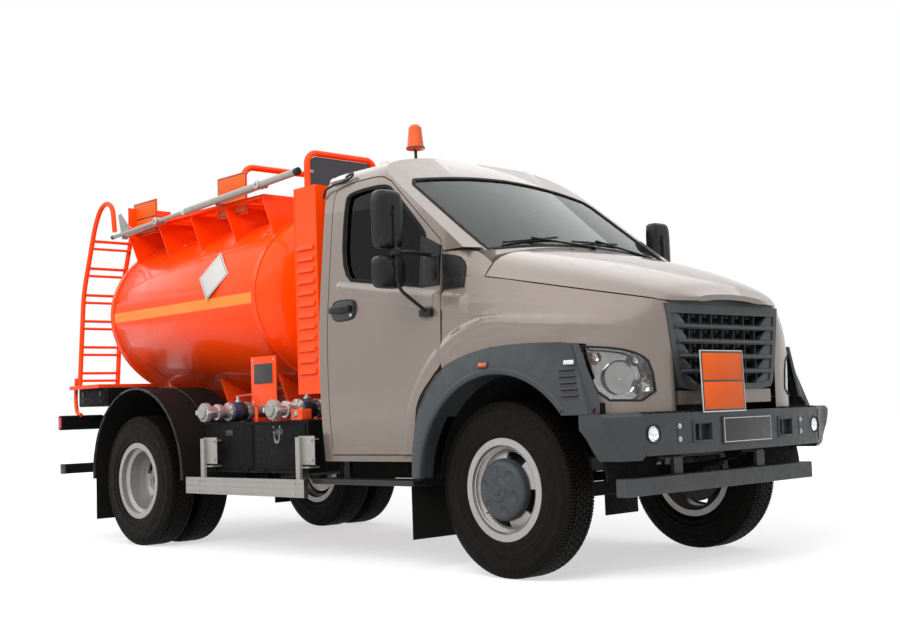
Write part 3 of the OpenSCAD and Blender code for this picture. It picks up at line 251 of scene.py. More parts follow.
paint = {
    "cab": makeCabPaint(),
    "tank": makeTankPaint(),
    "black": makeChassisBlack(),
    "grey": makeGreyPlastic("greyPlastic", (0.015, 0.019, 0.022), (0.023, 0.028, 0.032), 0.44),
    "grille": makeGreyPlastic("grillePlastic", (0.022, 0.025, 0.027), (0.032, 0.036, 0.038), 0.42),
    "dark": makeGreyPlastic("blackPlastic", (0.006, 0.006, 0.007), (0.010, 0.010, 0.011), 0.30, 0.26),
    "tyre": makeRubber("tyreRubber", (0.0026, 0.0023, 0.0021), (0.0085, 0.0066, 0.0052), 0.45, 0.09),
    "flap": makeRubber("flapRubber", (0.0045, 0.0045, 0.0045), (0.012, 0.010, 0.008), 0.5),
    "seal": makeRubber("sealRubber", (0.008, 0.008, 0.008), (0.02, 0.02, 0.02), 0.2),
    "wheel": makeMetal("wheelSilver", (0.38, 0.365, 0.35), 0.36, 0.62),
    "hub": makeMetal("hubGrey", (0.040, 0.045, 0.050), 0.40, 0.3),
    "galvanised": makeMetal("galvanisedSteel", (0.36, 0.345, 0.325), 0.48, 0.55, (1.0, 14.0, 14.0)),
    "cast": makeMetal("castIron", (0.075, 0.075, 0.078), 0.65, 0.3),
    "bright": makeMetal("satinAluminium", (0.62, 0.615, 0.61), 0.34, 0.9, (1.0, 14.0, 14.0)),
    "pipe": makeMetal("pipeSteel", (0.62, 0.61, 0.60), 0.30, 0.72),
    "chrome": makeMetal("brightChrome", (0.86, 0.87, 0.88), 0.06, 1.0, None, 0.05),
    "reflector": makeMetal("lampReflector", (0.36, 0.345, 0.335), 0.06, 1.0, None, 0.45),
    "nut": makeMetal("zincNut", (0.50, 0.48, 0.42), 0.35, 0.9),
    "windscreen": makeGlass("screenGlass", (0.30, 0.38, 0.36), bend=1.22),
    # near-black tint of the side glass: painted shade of the cab inside
    "sideGlass": makeGlass("sideGlass", (0.020, 0.027, 0.023), bend=1.22),
    "mirrorFace": makeMetal("mirrorFace", (0.80, 0.82, 0.83), 0.03, 1.0, None, 0.03),
    "lens": makeGlass("lampLens", (0.95, 0.96, 0.97), 0.02),
    "amber": makeLens("amberLens", (0.78, 0.105, 0.004), 0.35),
    "red": makeLens("redLens", (0.75, 0.015, 0.012), 0.25),
    "clear": makeLens("clearLens", (0.95, 0.95, 0.95), 0.4),
    "cloth": makeCloth(),
    "stripe": makeFlat("stripeFilm", (0.95, 0.215, 0.004), (0.90, 0.190, 0.004), 0.40, 8.0, 0.2),
    "plateOrange": makeFlat("plateOrange", (0.68, 0.095, 0.002), (0.62, 0.084, 0.002), 0.62, 20.0),
    "plateWhite": makeFlat("plateWhite", (0.48, 0.47, 0.46), (0.44, 0.43, 0.42), 0.45, 20.0),
    "plateBlackAndShade": makeFlat("plateBlackAndShade", (0.012, 0.012, 0.012), (0.018, 0.018, 0.018), 0.40, 30.0),
    "handleRed": makeFlat("handleRed", (0.55, 0.02, 0.015), (0.45, 0.016, 0.012), 0.40, 30.0, 0.3),
    "blue": makeFlat("flangeBlue", (0.02, 0.06, 0.22), (0.016, 0.045, 0.17), 0.45, 30.0),
}
print("finishes:", len(paint))


# shared modelling helpers
def finishMesh(name, bm, finish, body, replaces=(), sharp=32.0, merge=0.00002, outward=True):
    if merge:
        bmesh.ops.remove_doubles(bm, verts=bm.verts, dist=merge)
    if outward:
        bmesh.ops.recalc_face_normals(bm, faces=bm.faces)
    limit = math.radians(sharp)
    for edge in bm.edges:
        edge.smooth = len(edge.link_faces) == 2 and edge.calc_face_angle(0.0) < limit
    for face in bm.faces:
        face.smooth = True
    made = bm.faces.layers.int.get("made")
    if made:
        bm.faces.layers.int.remove(made)
    mesh = bpy.data.meshes.new(name)
    bm.to_mesh(mesh)
    bm.free()
    piece = bpy.data.objects.new(name, mesh)
    scene.collection.objects.link(piece)
    for one in (finish if isinstance(finish, (list, tuple)) else [finish]):
        mesh.materials.append(paint[one])
    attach(piece, body)
    if replaces:
        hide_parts(*((replaces,) if isinstance(replaces, str) else replaces))
    return piece


# forms pressed into doors and wings: a belt below the windows, a swell round each arch, a ledge at the sill
pressing = {"beltAt": 1.428, "beltSlope": -0.223, "beltEnd": -0.220, "beltRear": -1.385,
            "hingeLine": -0.412, "beltTall": 0.015, "windowAt": 1.592, "windowSlope": -0.150,
            "archX": 0.065, "archZ": 0.500, "swellIn": 0.825, "swellPeak": 0.915, "swellOut": 0.990,
            "swellTall": 0.024, "swellFoot": 0.004, "ridgeAt": 1.463, "ridgeSlope": -0.081, "sill": 0.725,
            "sillTall": 0.008, "grid": 0.0125, "top": 1.800}


def glide(value, low, high):
    t = min(1.0, max(0.0, (value - low) / (high - low)))
    return t * t * (3.0 - 2.0 * t)


def pressedBy(x, z):
    p = pressing
    belt = glide(z - p["beltAt"] - p["beltSlope"] * x, -0.017, 0.017)
    belt *= 1.0 - glide(x, p["beltEnd"] - 0.03, p["beltEnd"] + 0.03)
    belt *= glide(x, p["beltRear"] - 0.025, p["beltRear"] + 0.025)
    belt *= 1.0 - glide(z - p["windowAt"] - p["windowSlope"] * x, -0.050, -0.022)
    across = min(x, 0.25) - p["archX"]
    reach = math.hypot(across * (1.10 if across < 0.0 else 1.0), z - p["archZ"])
    swell = p["swellFoot"] + (p["swellTall"] - p["swellFoot"]) * glide(reach, p["swellIn"], p["swellPeak"])
    swell *= (1.0 - glide(reach, p["swellPeak"] + 0.02, p["swellOut"])) * (1.0 - glide(x, 0.58, 0.76))
    swell *= 1.0 - glide(z - p["ridgeAt"] - p["ridgeSlope"] * x, -0.030, 0.012)
    sill = p["sillTall"] * (1.0 - glide(z, p["sill"] - 0.010, p["sill"] + 0.010))
    return belt * p["beltTall"] + swell + sill


def pressSides(bm, hinged):
    # the outer skin is cut into a fine grid, and its points are moved outwards;
    # a door stays flat along its hinges
    bm.normal_update()
    for side in (-1.0, 1.0):
        skinFaces = [f for f in bm.faces
                     if f.normal.y * side > 0.5 and f.calc_center_median().y * side > 0.84]
        if not skinFaces:
            continue
        geom = list({g for f in skinFaces for g in (f, *f.edges, *f.verts)})
        for axis in (0, 2):
            points = [v.co[axis] for f in skinFaces if f.is_valid for v in f.verts]
            low, high = min(points), min(max(points), pressing["top"] if axis == 2 else 9.0)
            for k in range(1, int((high - low) / pressing["grid"])):
                place, normal = Vector(), Vector()
                place[axis] = low + k * pressing["grid"]
                normal[axis] = 1.0
                geom = bmesh.ops.bisect_plane(bm, geom=geom, plane_co=place, plane_no=normal)["geom"]
            skinFaces = [g for g in geom if isinstance(g, bmesh.types.BMFace)]
        for vert in {v for f in skinFaces for v in f.verts}:
            x = vert.co.x - axleX
            share = glide(pressing["hingeLine"] - x, 0.006, 0.055) if hinged else 1.0
            vert.co.y += side * share * pressedBy(x, vert.co.z)
    bm.normal_update()


def solidCopy(node):
    bm = bmesh.new()
    bm.from_mesh(frame["nodes"][node].data)
    bmesh.ops.remove_doubles(bm, verts=bm.verts, dist=0.00005)
    return bm


def plainFaces(bm):
    bmesh.ops.dissolve_limit(bm, angle_limit=math.radians(0.6), verts=bm.verts, edges=bm.edges)
    bmesh.ops.triangulate(bm, faces=[f for f in bm.faces if len(f.verts) > 4])


def roundEdges(piece, width, segments, angle, harden):
    rounding = piece.modifiers.new("roundedEdges", "BEVEL")
    rounding.width = width
    rounding.segments = segments
    rounding.limit_method = "ANGLE"
    rounding.angle_limit = math.radians(angle)
    rounding.harden_normals = harden


def addMesh(target, part):
    # part is emptied into target
    spare = bpy.data.meshes.new("spare")
    part.to_mesh(spare)
    part.free()
    target.from_mesh(spare)
    bpy.data.meshes.remove(spare)


def pushOut(bm, faces, move):
    # faces are extruded along a vector; the new points are given back
    pushed = bmesh.ops.extrude_face_region(bm, geom=faces)
    fresh = [g for g in pushed["geom"] if isinstance(g, bmesh.types.BMVert)]
    bmesh.ops.translate(bm, verts=fresh, vec=move)
    return fresh


def flatFace(bm, points):
    return bm.faces.new([bm.verts.new(p) for p in points])


def closedRing(bm, points):
    ring = [bm.verts.new(p) for p in points]
    return [bm.edges.new((a, b)) for a, b in zip(ring, ring[1:] + ring[:1])]


def bridgeRings(bm, rings):
    # a closed body through rings of edges
    for one, two in zip(rings, rings[1:]):
        bmesh.ops.bridge_loops(bm, edges=one + two)
    for ring in (rings[0], rings[-1]):
        bmesh.ops.contextual_create(bm, geom=ring)


def rimBevel(bm, verts, width):
    # rounds the edges that lie between the given points
    edges = {e for v in verts for e in v.link_edges}
    rims = [e for e in edges if all(v in verts for v in e.verts)]
    bmesh.ops.bevel(bm, geom=rims, offset=width, affect="EDGES", segments=2, profile=0.5, material=-1)


def onRing(radius, turn):
    return Vector((radius * math.cos(turn), 0, radius * math.sin(turn)))


# a merged, smooth copy of a solid, with small rounded edges
def dressNode(node, finish, body, edge, press):
    bm = solidCopy(node)
    plainFaces(bm)
    if press:
        pressSides(bm, node.startswith("door"))
    piece = finishMesh(node + ".dressed", bm, finish, body, node, 32.0, 0, False)
    if edge:
        roundEdges(piece, edge, 2, 40.0, True)


def startFaces(bm):
    # faces already there are marked as made
    made = bm.faces.layers.int.get("made") or bm.faces.layers.int.new("made")
    for face in bm.faces:
        face[made] = 1


def tintNew(bm, index):
    # faces made since startFaces take a material slot
    made = bm.faces.layers.int.get("made")
    for face in bm.faces:
        if not face[made]:
            face.material_index = index
            face[made] = 1


def lathe(bm, profile, centre, axis, steps=64):
    # profile: pairs of (radius, distance along the axis)
    axis = Vector(axis).normalized()
    side = axis.orthogonal().normalized()
    chain = [bm.verts.new(Vector(centre) + side * r + axis * h) for r, h in profile]
    edges = [bm.edges.new(pair) for pair in zip(chain, chain[1:])]
    made = bmesh.ops.spin(bm, geom=chain + edges, cent=centre, axis=axis, angle=math.tau,
                          steps=steps, use_merge=True)
    bmesh.ops.remove_doubles(bm, verts=bm.verts, dist=0.00002)
    return made


def turned(bm, profile, centre, axis, steps, index):
    startFaces(bm)
    lathe(bm, profile, centre, axis, steps)
    tintNew(bm, index)


def roundBox(bm, low, high, radius=0.004, segments=2, turn=None):
    low, high = Vector(low), Vector(high)
    size = high - low
    shape = Matrix.Translation((low + high) / 2) @ (turn or Matrix()) @ Matrix.Diagonal((*size, 1.0))
    made = bmesh.ops.create_cube(bm, size=1.0, matrix=shape)
    if radius:
        edges = list({e for v in made["verts"] for e in v.link_edges})
        bmesh.ops.bevel(bm, geom=edges, offset=radius, affect="EDGES",
                        segments=segments, profile=0.5, material=-1)
    return made


def rod(bm, start, end, radius, sides=20):
    start, end = Vector(start), Vector(end)
    along = end - start
    turn = along.to_track_quat("Z", "Y").to_matrix().to_4x4()
    shape = Matrix.Translation((start + end) / 2) @ turn
    return bmesh.ops.create_cone(bm, cap_ends=True, segments=sides, radius1=radius, radius2=radius,
                                 depth=along.length, matrix=shape)


# a bent tube: corners of the path are rounded, then a circle is carried along it
def bentTube(bm, path, radius, bend=0.04, sides=16):
    path = [Vector(p) for p in path]
    route = [path[0]]
    for before, here, after in zip(path, path[1:], path[2:]):
        a, b = (before - here), (after - here)
        reach = min(bend, a.length * 0.48, b.length * 0.48)
        a, b = here + a.normalized() * reach, here + b.normalized() * reach
        route += [a.lerp(here, t).lerp(here.lerp(b, t), t) for t in (0.0, 0.2, 0.4, 0.6, 0.8, 1.0)]
    route.append(path[-1])
    heading = (route[1] - route[0]).normalized()
    frameTurn = heading.to_track_quat("Z", "Y").to_matrix().to_4x4()
    rings = []
    for i, place in enumerate(route):
        ahead = route[min(i + 1, len(route) - 1)] - route[max(i - 1, 0)]
        ahead.normalize()
        frameTurn = heading.rotation_difference(ahead).to_matrix().to_4x4() @ frameTurn
        heading = ahead
        ring = bmesh.ops.create_circle(bm, cap_ends=i in (0, len(route) - 1), segments=sides, radius=radius,
                                       matrix=Matrix.Translation(place) @ frameTurn)
        rings.append(sorted({e for v in ring["verts"] for e in v.link_edges
                             if all(w in ring["verts"] for w in e.verts)}, key=lambda e: e.index))
    for one, two in zip(rings, rings[1:]):
        bmesh.ops.bridge_loops(bm, edges=[e for e in one + two if len(e.verts) == 2])


def tintedRod(bm, start, end, radius, sides, index):
    startFaces(bm)
    rod(bm, start, end, radius, sides)
    tintNew(bm, index)


def tubed(bm, path, radius, bend, sides, index):
    startFaces(bm)
    bentTube(bm, path, radius, bend, sides)
    tintNew(bm, index)


# points are given in metres from the front axle, the ground and the middle plane
def spot(x, y, z):
    return Vector((axleX + x, y, z))


def turnTo(normal, up=(0, 0, 1)):
    # local Z along the normal, local Y as near to up as it can be
    normal = Vector(normal).normalized()
    side = Vector(up).cross(normal).normalized()
    return Matrix((side, normal.cross(side), normal)).transposed().to_4x4()


def slab(bm, centre, size, normal, radius=0.002, index=0, up=(0, 0, 1), segments=2):
    # size: width, height and thickness, with the thickness along the normal
    startFaces(bm)
    centre, half = Vector(centre), Vector(size) / 2
    roundBox(bm, centre - half, centre + half, radius, segments, turnTo(normal, up))
    tintNew(bm, index)


def stud(bm, centre, normal, across=0.018, height=0.010, index=0):
    # hexagon nut with a washer and a round end
    startFaces(bm)
    turn = Matrix.Translation(centre) @ turnTo(normal, (0.3, 0.9, 0.2))
    lift = Matrix.Translation((0, 0, height * 0.6))
    bmesh.ops.create_cone(bm, cap_ends=True, segments=6, radius1=across * 0.577, radius2=across * 0.54,
                          depth=height, matrix=turn @ lift)
    bmesh.ops.create_cone(bm, cap_ends=True, segments=16, radius1=across * 0.85, radius2=across * 0.85,
                          depth=0.003, matrix=turn @ Matrix.Translation((0, 0, 0.001)))
    bmesh.ops.create_cone(bm, cap_ends=True, segments=12, radius1=across * 0.32, radius2=across * 0.26,
                          depth=height * 0.6, matrix=turn @ Matrix.Translation((0, 0, height * 1.2)))
    tintNew(bm, index)


# camera, solved from the photograph
shot = {"place": (7.128, -6.026, 0.933), "yaw": 136.55825502, "pitch": 4.49373995,
        "roll": 2.02175109, "focalPixels": 1268.985}


def setCamera():
    yaw, pitch, roll = (math.radians(shot[k]) for k in ("yaw", "pitch", "roll"))
    ahead = Vector((math.cos(pitch) * math.cos(yaw), math.cos(pitch) * math.sin(yaw), math.sin(pitch)))
    levelRight = Vector((math.sin(yaw), -math.cos(yaw), 0.0))
    levelDown = ahead.cross(levelRight)
    right = math.cos(roll) * levelRight + math.sin(roll) * levelDown
    down = -math.sin(roll) * levelRight + math.cos(roll) * levelDown
    data = bpy.data.cameras.new("photoCamera")
    data.sensor_fit = "HORIZONTAL"
    data.sensor_width = 36.0
    data.lens = shot["focalPixels"] * 36.0 / 900.0
    data.clip_end = 200.0
    camera = bpy.data.objects.new("photoCamera", data)
    turn = Matrix((right, -down, -ahead)).transposed().to_4x4()
    camera.matrix_world = Matrix.Translation(shot["place"]) @ turn
    scene.collection.objects.link(camera)
    scene.camera = camera


studio = {"floorSize": 60.0, "key": 1450.0, "fill": 150.0, "top": 1750.0, "world": 0.36, "nearFloor": 5.5,
          "farFloor": 10.0, "floorGlow": 0.58}


def setStudio():
    bm = bmesh.new()
    bmesh.ops.create_grid(bm, x_segments=1, y_segments=1, size=studio["floorSize"])
    mesh = bpy.data.meshes.new("floor")
    bm.to_mesh(mesh)
    bm.free()
    floor = bpy.data.objects.new("floor", mesh)
    scene.collection.objects.link(floor)
    # a white floor that keeps the shadow near the object and is plain white far from it, for the camera
    f = Finish("floorWhite", Roughness=0.9, Specular_IOR_Level=0.1, Emission_Strength=1.0)
    f.feed("Base Color", f.blend(f.noise(2.0), (0.42, 0.42, 0.42), (0.40, 0.40, 0.40)))
    reach = f.node("ShaderNodeVectorMath", {"operation": "LENGTH"}, [f.place()], "Value")
    far = f.ease(reach, studio["nearFloor"], studio["farFloor"], 0.0, 1.0)
    glow = f.seenRay() * (far * (1.0 - studio["floorGlow"]) + studio["floorGlow"])
    f.feed("Emission Color", f.blend(glow, (0.0, 0.0, 0.0), (1.0, 1.0, 1.0)))
    mesh.materials.append(f.material)
    world = bpy.data.worlds.new("studioWorld")
    scene.world = world
    world.use_nodes = True
    sky = Finish.onTree(world.node_tree)
    back = sky.tree.nodes["Background"]
    level = sky.seenRay() * (1.0 - studio["world"]) + studio["world"]
    sky.tree.links.new(level.socket, back.inputs["Strength"])
    back.inputs["Color"].default_value = (1.0, 1.0, 1.0, 1.0)
    lamps = (("keyLamp", (5.0, -9.0, 7.5), (0.3, 0.0, 1.2), 7.0, studio["key"], False),
             ("fillLamp", (9.5, 3.0, 5.0), (1.0, 0.0, 1.0), 5.0, studio["fill"], False),
             ("topLamp", (-1.0, -1.0, 9.0), (0.0, 0.0, 1.0), 26.0, studio["top"], True))
    for name, place, target, size, power, mirrored in lamps:
        data = bpy.data.lights.new(name, "AREA")
        data.size = size
        data.energy = power
        lamp = bpy.data.objects.new(name, data)
        away = Vector(place) - Vector(target)
        lamp.matrix_world = Matrix.Translation(place) @ away.to_track_quat("Z", "Y").to_matrix().to_4x4()
        lamp.visible_glossy = mirrored
        scene.collection.objects.link(lamp)


setCamera()
setStudio()
print("camera and studio set")


# tyres: ribbed sides and a tread of blocks and lugs
tyre = {"radius": 0.490, "frontTrack": 0.870, "rearOuter": 0.990, "rearInner": 0.700, "bead": 0.2562,
        "flange": 0.2865, "base": 0.4775, "pitches": 84, "rows": 4}


def tyreSection():
    side = [(tyre["bead"], 0.070), (tyre["bead"], 0.0985), (tyre["flange"], 0.0990),
            (tyre["flange"] + 0.0005, 0.1035)]
    ribs = {2: 0.0036, 3: 0.0036, 7: 0.0034, 12: -0.0030, 13: -0.0030, 16: 0.0036, 17: 0.0036}
    for i in range(21):
        t = i / 20
        side.append((0.2915 + 0.1725 * t,
                     0.100 + 0.0175 * math.sin(math.radians(20 + 150 * t)) + ribs.get(i, 0.0)))
    side += [(0.4690, 0.1005), (0.4745, 0.0960), (tyre["base"], 0.0880), (tyre["base"] + 0.0012, 0.0300)]
    return side + [(r, -y) for r, y in reversed(side)] + [side[0]]


def addTread(bm, centre):
    centre = Vector(centre)
    pitch = math.tau * tyre["radius"] / tyre["pitches"]
    top, base = tyre["radius"], tyre["base"] - 0.003
    spots = []
    across = 0.058 * 2 / tyre["rows"]
    for row in range(tyre["rows"]):
        v = -0.058 + across * (row + 0.5)
        spots.append((v, across - 0.005, (row % 2) * 0.5, 0.55 if row % 2 else -0.55))
    for v, width, shift, skew in spots:
        lean = Matrix(((1, skew, 0, 0), (0, 1, 0, 0), (0, 0, 1, 0), (0, 0, 0, 1)))
        here = Matrix.Translation(centre + Vector((shift * pitch, v, (top + base) / 2)))
        bmesh.ops.create_cube(bm, size=1.0,
                              matrix=here @ lean @ Matrix.Diagonal((pitch * 0.80, width, top - base, 1.0)))
    for side in (-1.0, 1.0):
        for shift, reach in ((0.25, 1.9), (0.75, 1.0)):
            here = Matrix.Translation(centre + Vector((shift * pitch, side * 0.081, (top + base) / 2)))
            lug = bmesh.ops.create_cube(bm, size=1.0,
                                        matrix=here @ Matrix.Diagonal((pitch * 0.36, 0.036, top - base, 1.0)))
            for vert in lug["verts"]:
                local = vert.co - centre
                if local.y * side > 0.081:
                    up = local.z > (top + base) / 2
                    local.y = side * (0.0935 if up else 0.0965 + 0.0085 * reach)
                    local.z = 0.4855 if up else 0.4755 - 0.016 * reach
                    vert.co = centre + local


wheelPlaces = []
for side, hand in ((-1.0, "right"), (1.0, "left")):
    wheelPlaces.append(("tyre_front_" + hand, "wheel_front_" + hand, [(0.0, side * tyre["frontTrack"])]))
for side, hand in ((-1.0, "right"), (1.0, "left")):
    pair = [(-wheelbase, side * tyre[place]) for place in ("rearOuter", "rearInner")]
    wheelPlaces.append(("tyres_rear_" + hand, "wheels_rear_" + hand, pair))
for node, body, places in wheelPlaces:
    centres = [spot(x, y, tyre["radius"]) for x, y in places]
    bm = bmesh.new()
    for centre in centres:
        tread = bmesh.new()
        addTread(tread, centre)
        count = tyre["pitches"] - 1
        bmesh.ops.spin(tread, geom=tread.verts[:] + tread.edges[:] + tread.faces[:], cent=centre,
                       axis=(0, 1, 0), angle=math.tau * count / tyre["pitches"],
                       steps=count, use_duplicate=True)
        lathe(tread, tyreSection(), centre, (0, 1, 0), 96)
        addMesh(bm, tread)
    finishMesh(node + ".rubber", bm, "tyre", body, node, 40.0)
print("tyres:", len(wheelPlaces))


# tank markings
tankShape = {"half": 0.930, "tall": 0.690, "middle": 1.800}
stripe = {"low": 1.742, "high": 1.818, "rear": -4.400, "front": -2.450, "lift": 0.0012}


def tankSide(z, lift=0.0):
    up = (z - tankShape["middle"]) / (tankShape["tall"] + lift)
    return (tankShape["half"] + lift) * math.sqrt(1.0 - up ** 2)


def tankNormal(z, side):
    y = tankSide(z)
    return Vector((0.0, side * y / tankShape["half"] ** 2,
                   (z - tankShape["middle"]) / tankShape["tall"] ** 2)).normalized()


bm = bmesh.new()
for side in (-1.0, 1.0):
    band = bmesh.ops.create_grid(bm, x_segments=24, y_segments=3, size=0.5)
    for vert in band["verts"]:
        z = stripe["low"] + (vert.co.y + 0.5) * (stripe["high"] - stripe["low"])
        x = stripe["rear"] + (vert.co.x + 0.5) * (stripe["front"] - stripe["rear"])
        vert.co = spot(x, side * tankSide(z, stripe["lift"]), z)
bmesh.ops.recalc_face_normals(bm, faces=bm.faces)
bmesh.ops.solidify(bm, geom=bm.faces[:], thickness=0.0008)
finishMesh("tankStripe", bm, "stripe", "chassis")

diamond = {"x": -2.975, "z": 1.985, "edge": 0.27}
bm = bmesh.new()
for side in (-1.0, 1.0):
    normal = tankNormal(diamond["z"], side)
    centre = spot(diamond["x"], side * tankSide(diamond["z"], 0.004), diamond["z"])
    tip = normal.cross(Vector((1, 0, 0))) + Vector((1, 0, 0))
    slab(bm, centre, (diamond["edge"], diamond["edge"], 0.003), normal, 0.001, 0, tip)
    slab(bm, centre + normal * 0.0012,
         (diamond["edge"] - 0.02, diamond["edge"] - 0.02, 0.002), normal, 0.0005, 1, tip)
    slab(bm, centre + normal * 0.0019,
         (diamond["edge"] - 0.028, diamond["edge"] - 0.028, 0.0016), normal, 0.0004, 0, tip)
finishMesh("tankDiamonds", bm, ("plateWhite", "plateBlackAndShade"), "chassis")


# blank orange plates with a dark border and a bar across the middle
def orangePlate(bm, centre, width, height, normal, up=(0, 0, 1)):
    centre, normal = Vector(centre), Vector(normal).normalized()
    rise = turnTo(normal, up).to_3x3() @ Vector((0, 1, 0))
    slab(bm, centre, (width, height, 0.006), normal, 0.002, 2, up)
    slab(bm, centre + normal * 0.0018, (width - 0.012, height - 0.012, 0.004), normal, 0.001, 1, up)
    field = (height - 0.012 - 0.010 * 3) / 2
    for way in (-1.0, 1.0):
        slab(bm, centre + normal * 0.0026 + rise * way * (field + 0.010) / 2,
             (width - 0.034, field, 0.004), normal, 0.0006, 0, up)


bm = bmesh.new()
orangePlate(bm, spot(0.945, -0.206, 1.046), 0.400, 0.335, (1, 0, 0.02))
for z in (0.93, 1.16):
    slab(bm, spot(0.903, -0.206, z), (0.030, 0.030, 0.075), (1, 0, 0), 0.003, 2)
finishMesh("frontPlate", bm, ("plateOrange", "plateBlackAndShade", "bright"), "chassis")

sidePlates = {"rear": (-4.245, 2.60, 0.37, 0.28), "front": (-2.975, 2.60, 0.39, 0.31)}
bm = bmesh.new()
for side in (-1.0, 1.0):
    for x, z, width, height in sidePlates.values():
        orangePlate(bm, spot(x, side * 0.720, z), width, height, (0, side, 0))
        for way in (-1.0, 1.0):
            rod(bm, spot(x + way * width * 0.36, side * 0.705, 2.525),
                spot(x + way * width * 0.36, side * 0.705, z + height * 0.30), 0.008, 12)
orangePlate(bm, spot(-4.385, -0.60, 2.615), 0.40, 0.17, (-1, 0, 0))
for y in (-0.70, -0.50):
    rod(bm, spot(-4.378, y, 2.525), spot(-4.378, y, 2.66), 0.007, 12)
finishMesh("walkwayPlates", bm, ("plateOrange", "plateBlackAndShade", "tank"), "chassis")


# bumper
bumper = {"top": 0.885, "middle": 0.780}


def bumperFace(y):
    # how far forward the bumper's face is at a distance from the middle
    knots = ((0.0, 0.950), (0.4, 0.938), (0.8, 0.900), (0.88, 0.874), (0.98, 0.835))
    y = abs(y)
    for (a, xa), (b, xb) in zip(knots, knots[1:]):
        if y <= b:
            return xa + (xb - xa) * (y - a) / (b - a)
    return knots[-1][1]


# the bumper's middle is the solid's own, cut where the end caps start
capFrom = 0.832
bm = solidCopy("front_bumper")
for side in (-1.0, 1.0):
    bmesh.ops.bisect_plane(bm, geom=bm.verts[:] + bm.edges[:] + bm.faces[:],
                           plane_co=(0, side * capFrom, 0), plane_no=(0, side, 0), clear_outer=True)
    bmesh.ops.holes_fill(bm, edges=[e for e in bm.edges if e.is_boundary])
plainFaces(bm)
middle = finishMesh("bumperMiddle", bm, "grey", "chassis", "front_bumper", 32.0, 0, False)
roundEdges(middle, 0.014, 3, 32.0, False)


def capRing(bm, y, side):
    # section of an end cap: its foot rises towards the outer end
    foot = 0.646 + max(0.0, abs(y) - 0.955) * 1.40
    face = bumperFace(y) - max(0.0, abs(y) - 1.04) * 0.50
    outline = [(-0.165, 0.889), (-0.022, 0.889), (-0.008, 0.884), (0.004, 0.868), (0.004, foot + 0.050),
               (-0.004, foot + 0.020), (-0.026, foot), (-0.165, foot)]
    return closedRing(bm, [spot(face + dx, side * y, z) for dx, z in outline])


bm = bmesh.new()
for side in (-1.0, 1.0):
    rings = [capRing(bm, y, side)
             for y in (0.834, 0.838, 0.88, 0.92, 0.945, 0.955, 0.965, 1.0, 1.03, 1.055, 1.068, 1.074)]
    bridgeRings(bm, rings)
finishMesh("bumperCaps", bm, "grey", "chassis", sharp=40.0)

bm = bmesh.new()
for x, size, radius, index in ((0.9475, (0.470, 0.150, 0.012), 0.004, 0),
                               (0.9535, (0.452, 0.132, 0.003), 0.001, 2),
                               (0.9545, (0.444, 0.124, 0.003), 0.001, 1)):
    slab(bm, spot(x, 0.0, bumper["middle"]), size, (1, 0, 0), radius, index)
for side in (-1.0, 1.0):
    # tow holes: a raised rim, a black plate inside that is painted shade, and a pin
    hole = spot(bumperFace(0.40) - 0.001, side * 0.400, bumper["middle"])
    outward = Vector((1.0, side * 0.06, 0.0))
    for dy, dz, wide, tall in ((0, 0.052, 0.168, 0.014), (0, -0.052, 0.168, 0.014),
                               (0.077, 0, 0.014, 0.116), (-0.077, 0, 0.014, 0.116)):
        slab(bm, hole + Vector((-0.06 * side * dy, dy, dz)), (wide, tall, 0.012), outward, 0.004)
    slab(bm, hole + Vector((-0.043, 0, 0)), (0.138, 0.088, 0.004), outward, 0.001, 1)
    rod(bm, hole + Vector((-0.024, 0, -0.040)), hole + Vector((-0.024, 0, 0.040)), 0.011, 16)
    startFaces(bm)
    # two bolt heads in a shallow upright slot
    slot = spot(bumperFace(0.585) + 0.0005, side * 0.585, bumper["middle"])
    # the slot is a black strip: painted shade of the recess
    slab(bm, slot, (0.034, 0.105, 0.003), (1.0, side * 0.09, 0), 0.001, 1)
    for dz in (-0.034, 0.034):
        stud(bm, slot + Vector((0.001, 0, dz)), (1.0, side * 0.09, 0), 0.016, 0.007, 2)
finishMesh("bumperFittings", bm, ("grey", "plateBlackAndShade", "bright"), "chassis")

bm = bmesh.new()
for side in (-1.0, 1.0):
    lamp = spot(bumperFace(0.776) - 0.004, side * 0.776, 0.780)
    out = Vector((1.0, side * 0.08, 0.0))
    turned(bm, [(0.041, -0.05), (0.050, -0.002), (0.053, 0.006), (0.049, 0.009), (0.043, 0.004),
                (0.041, -0.006)], lamp, out, 40, 0)
    turned(bm, [(0.0, -0.030), (0.014, -0.028), (0.030, -0.016), (0.040, 0.000)], lamp, out, 40, 1)
    turned(bm, [(0.0, -0.006), (0.006, -0.008), (0.009, -0.016), (0.009, -0.028)], lamp, out, 16, 1)
    turned(bm, [(0.0, 0.008), (0.016, 0.007), (0.030, 0.004), (0.0405, -0.001), (0.0405, -0.004),
                (0.030, 0.001), (0.0, 0.004)], lamp, out, 40, 2)
finishMesh("fogLamps", bm, ("dark", "chrome", "lens"), "chassis")

# ribbed rubber pads on the bumper's top
tread = {"ribs": 16, "from": 0.44, "to": 0.80}
bm = bmesh.new()
for side in (-1.0, 1.0):
    width = (tread["to"] - tread["from"]) / tread["ribs"]
    for i in range(tread["ribs"]):
        y = tread["from"] + (i + 0.5) * width
        x = bumperFace(y) - 0.040
        slab(bm, spot(x, side * y, bumper["top"] + 0.003), (0.066, width * 0.62, 0.010), (0, 0, 1),
             0.002, 0, (0.25, side, 0))
    for i in range(8):
        y = tread["from"] + (i + 0.5) * (tread["to"] - tread["from"]) / 8
        slab(bm, spot(bumperFace(y) - 0.040, side * y, bumper["top"] + 0.0005), (0.072, 0.068, 0.005),
             (0, 0, 1), 0.001, 0, (0.2, side, 0))
finishMesh("bumperTreads", bm, "flap", "chassis")

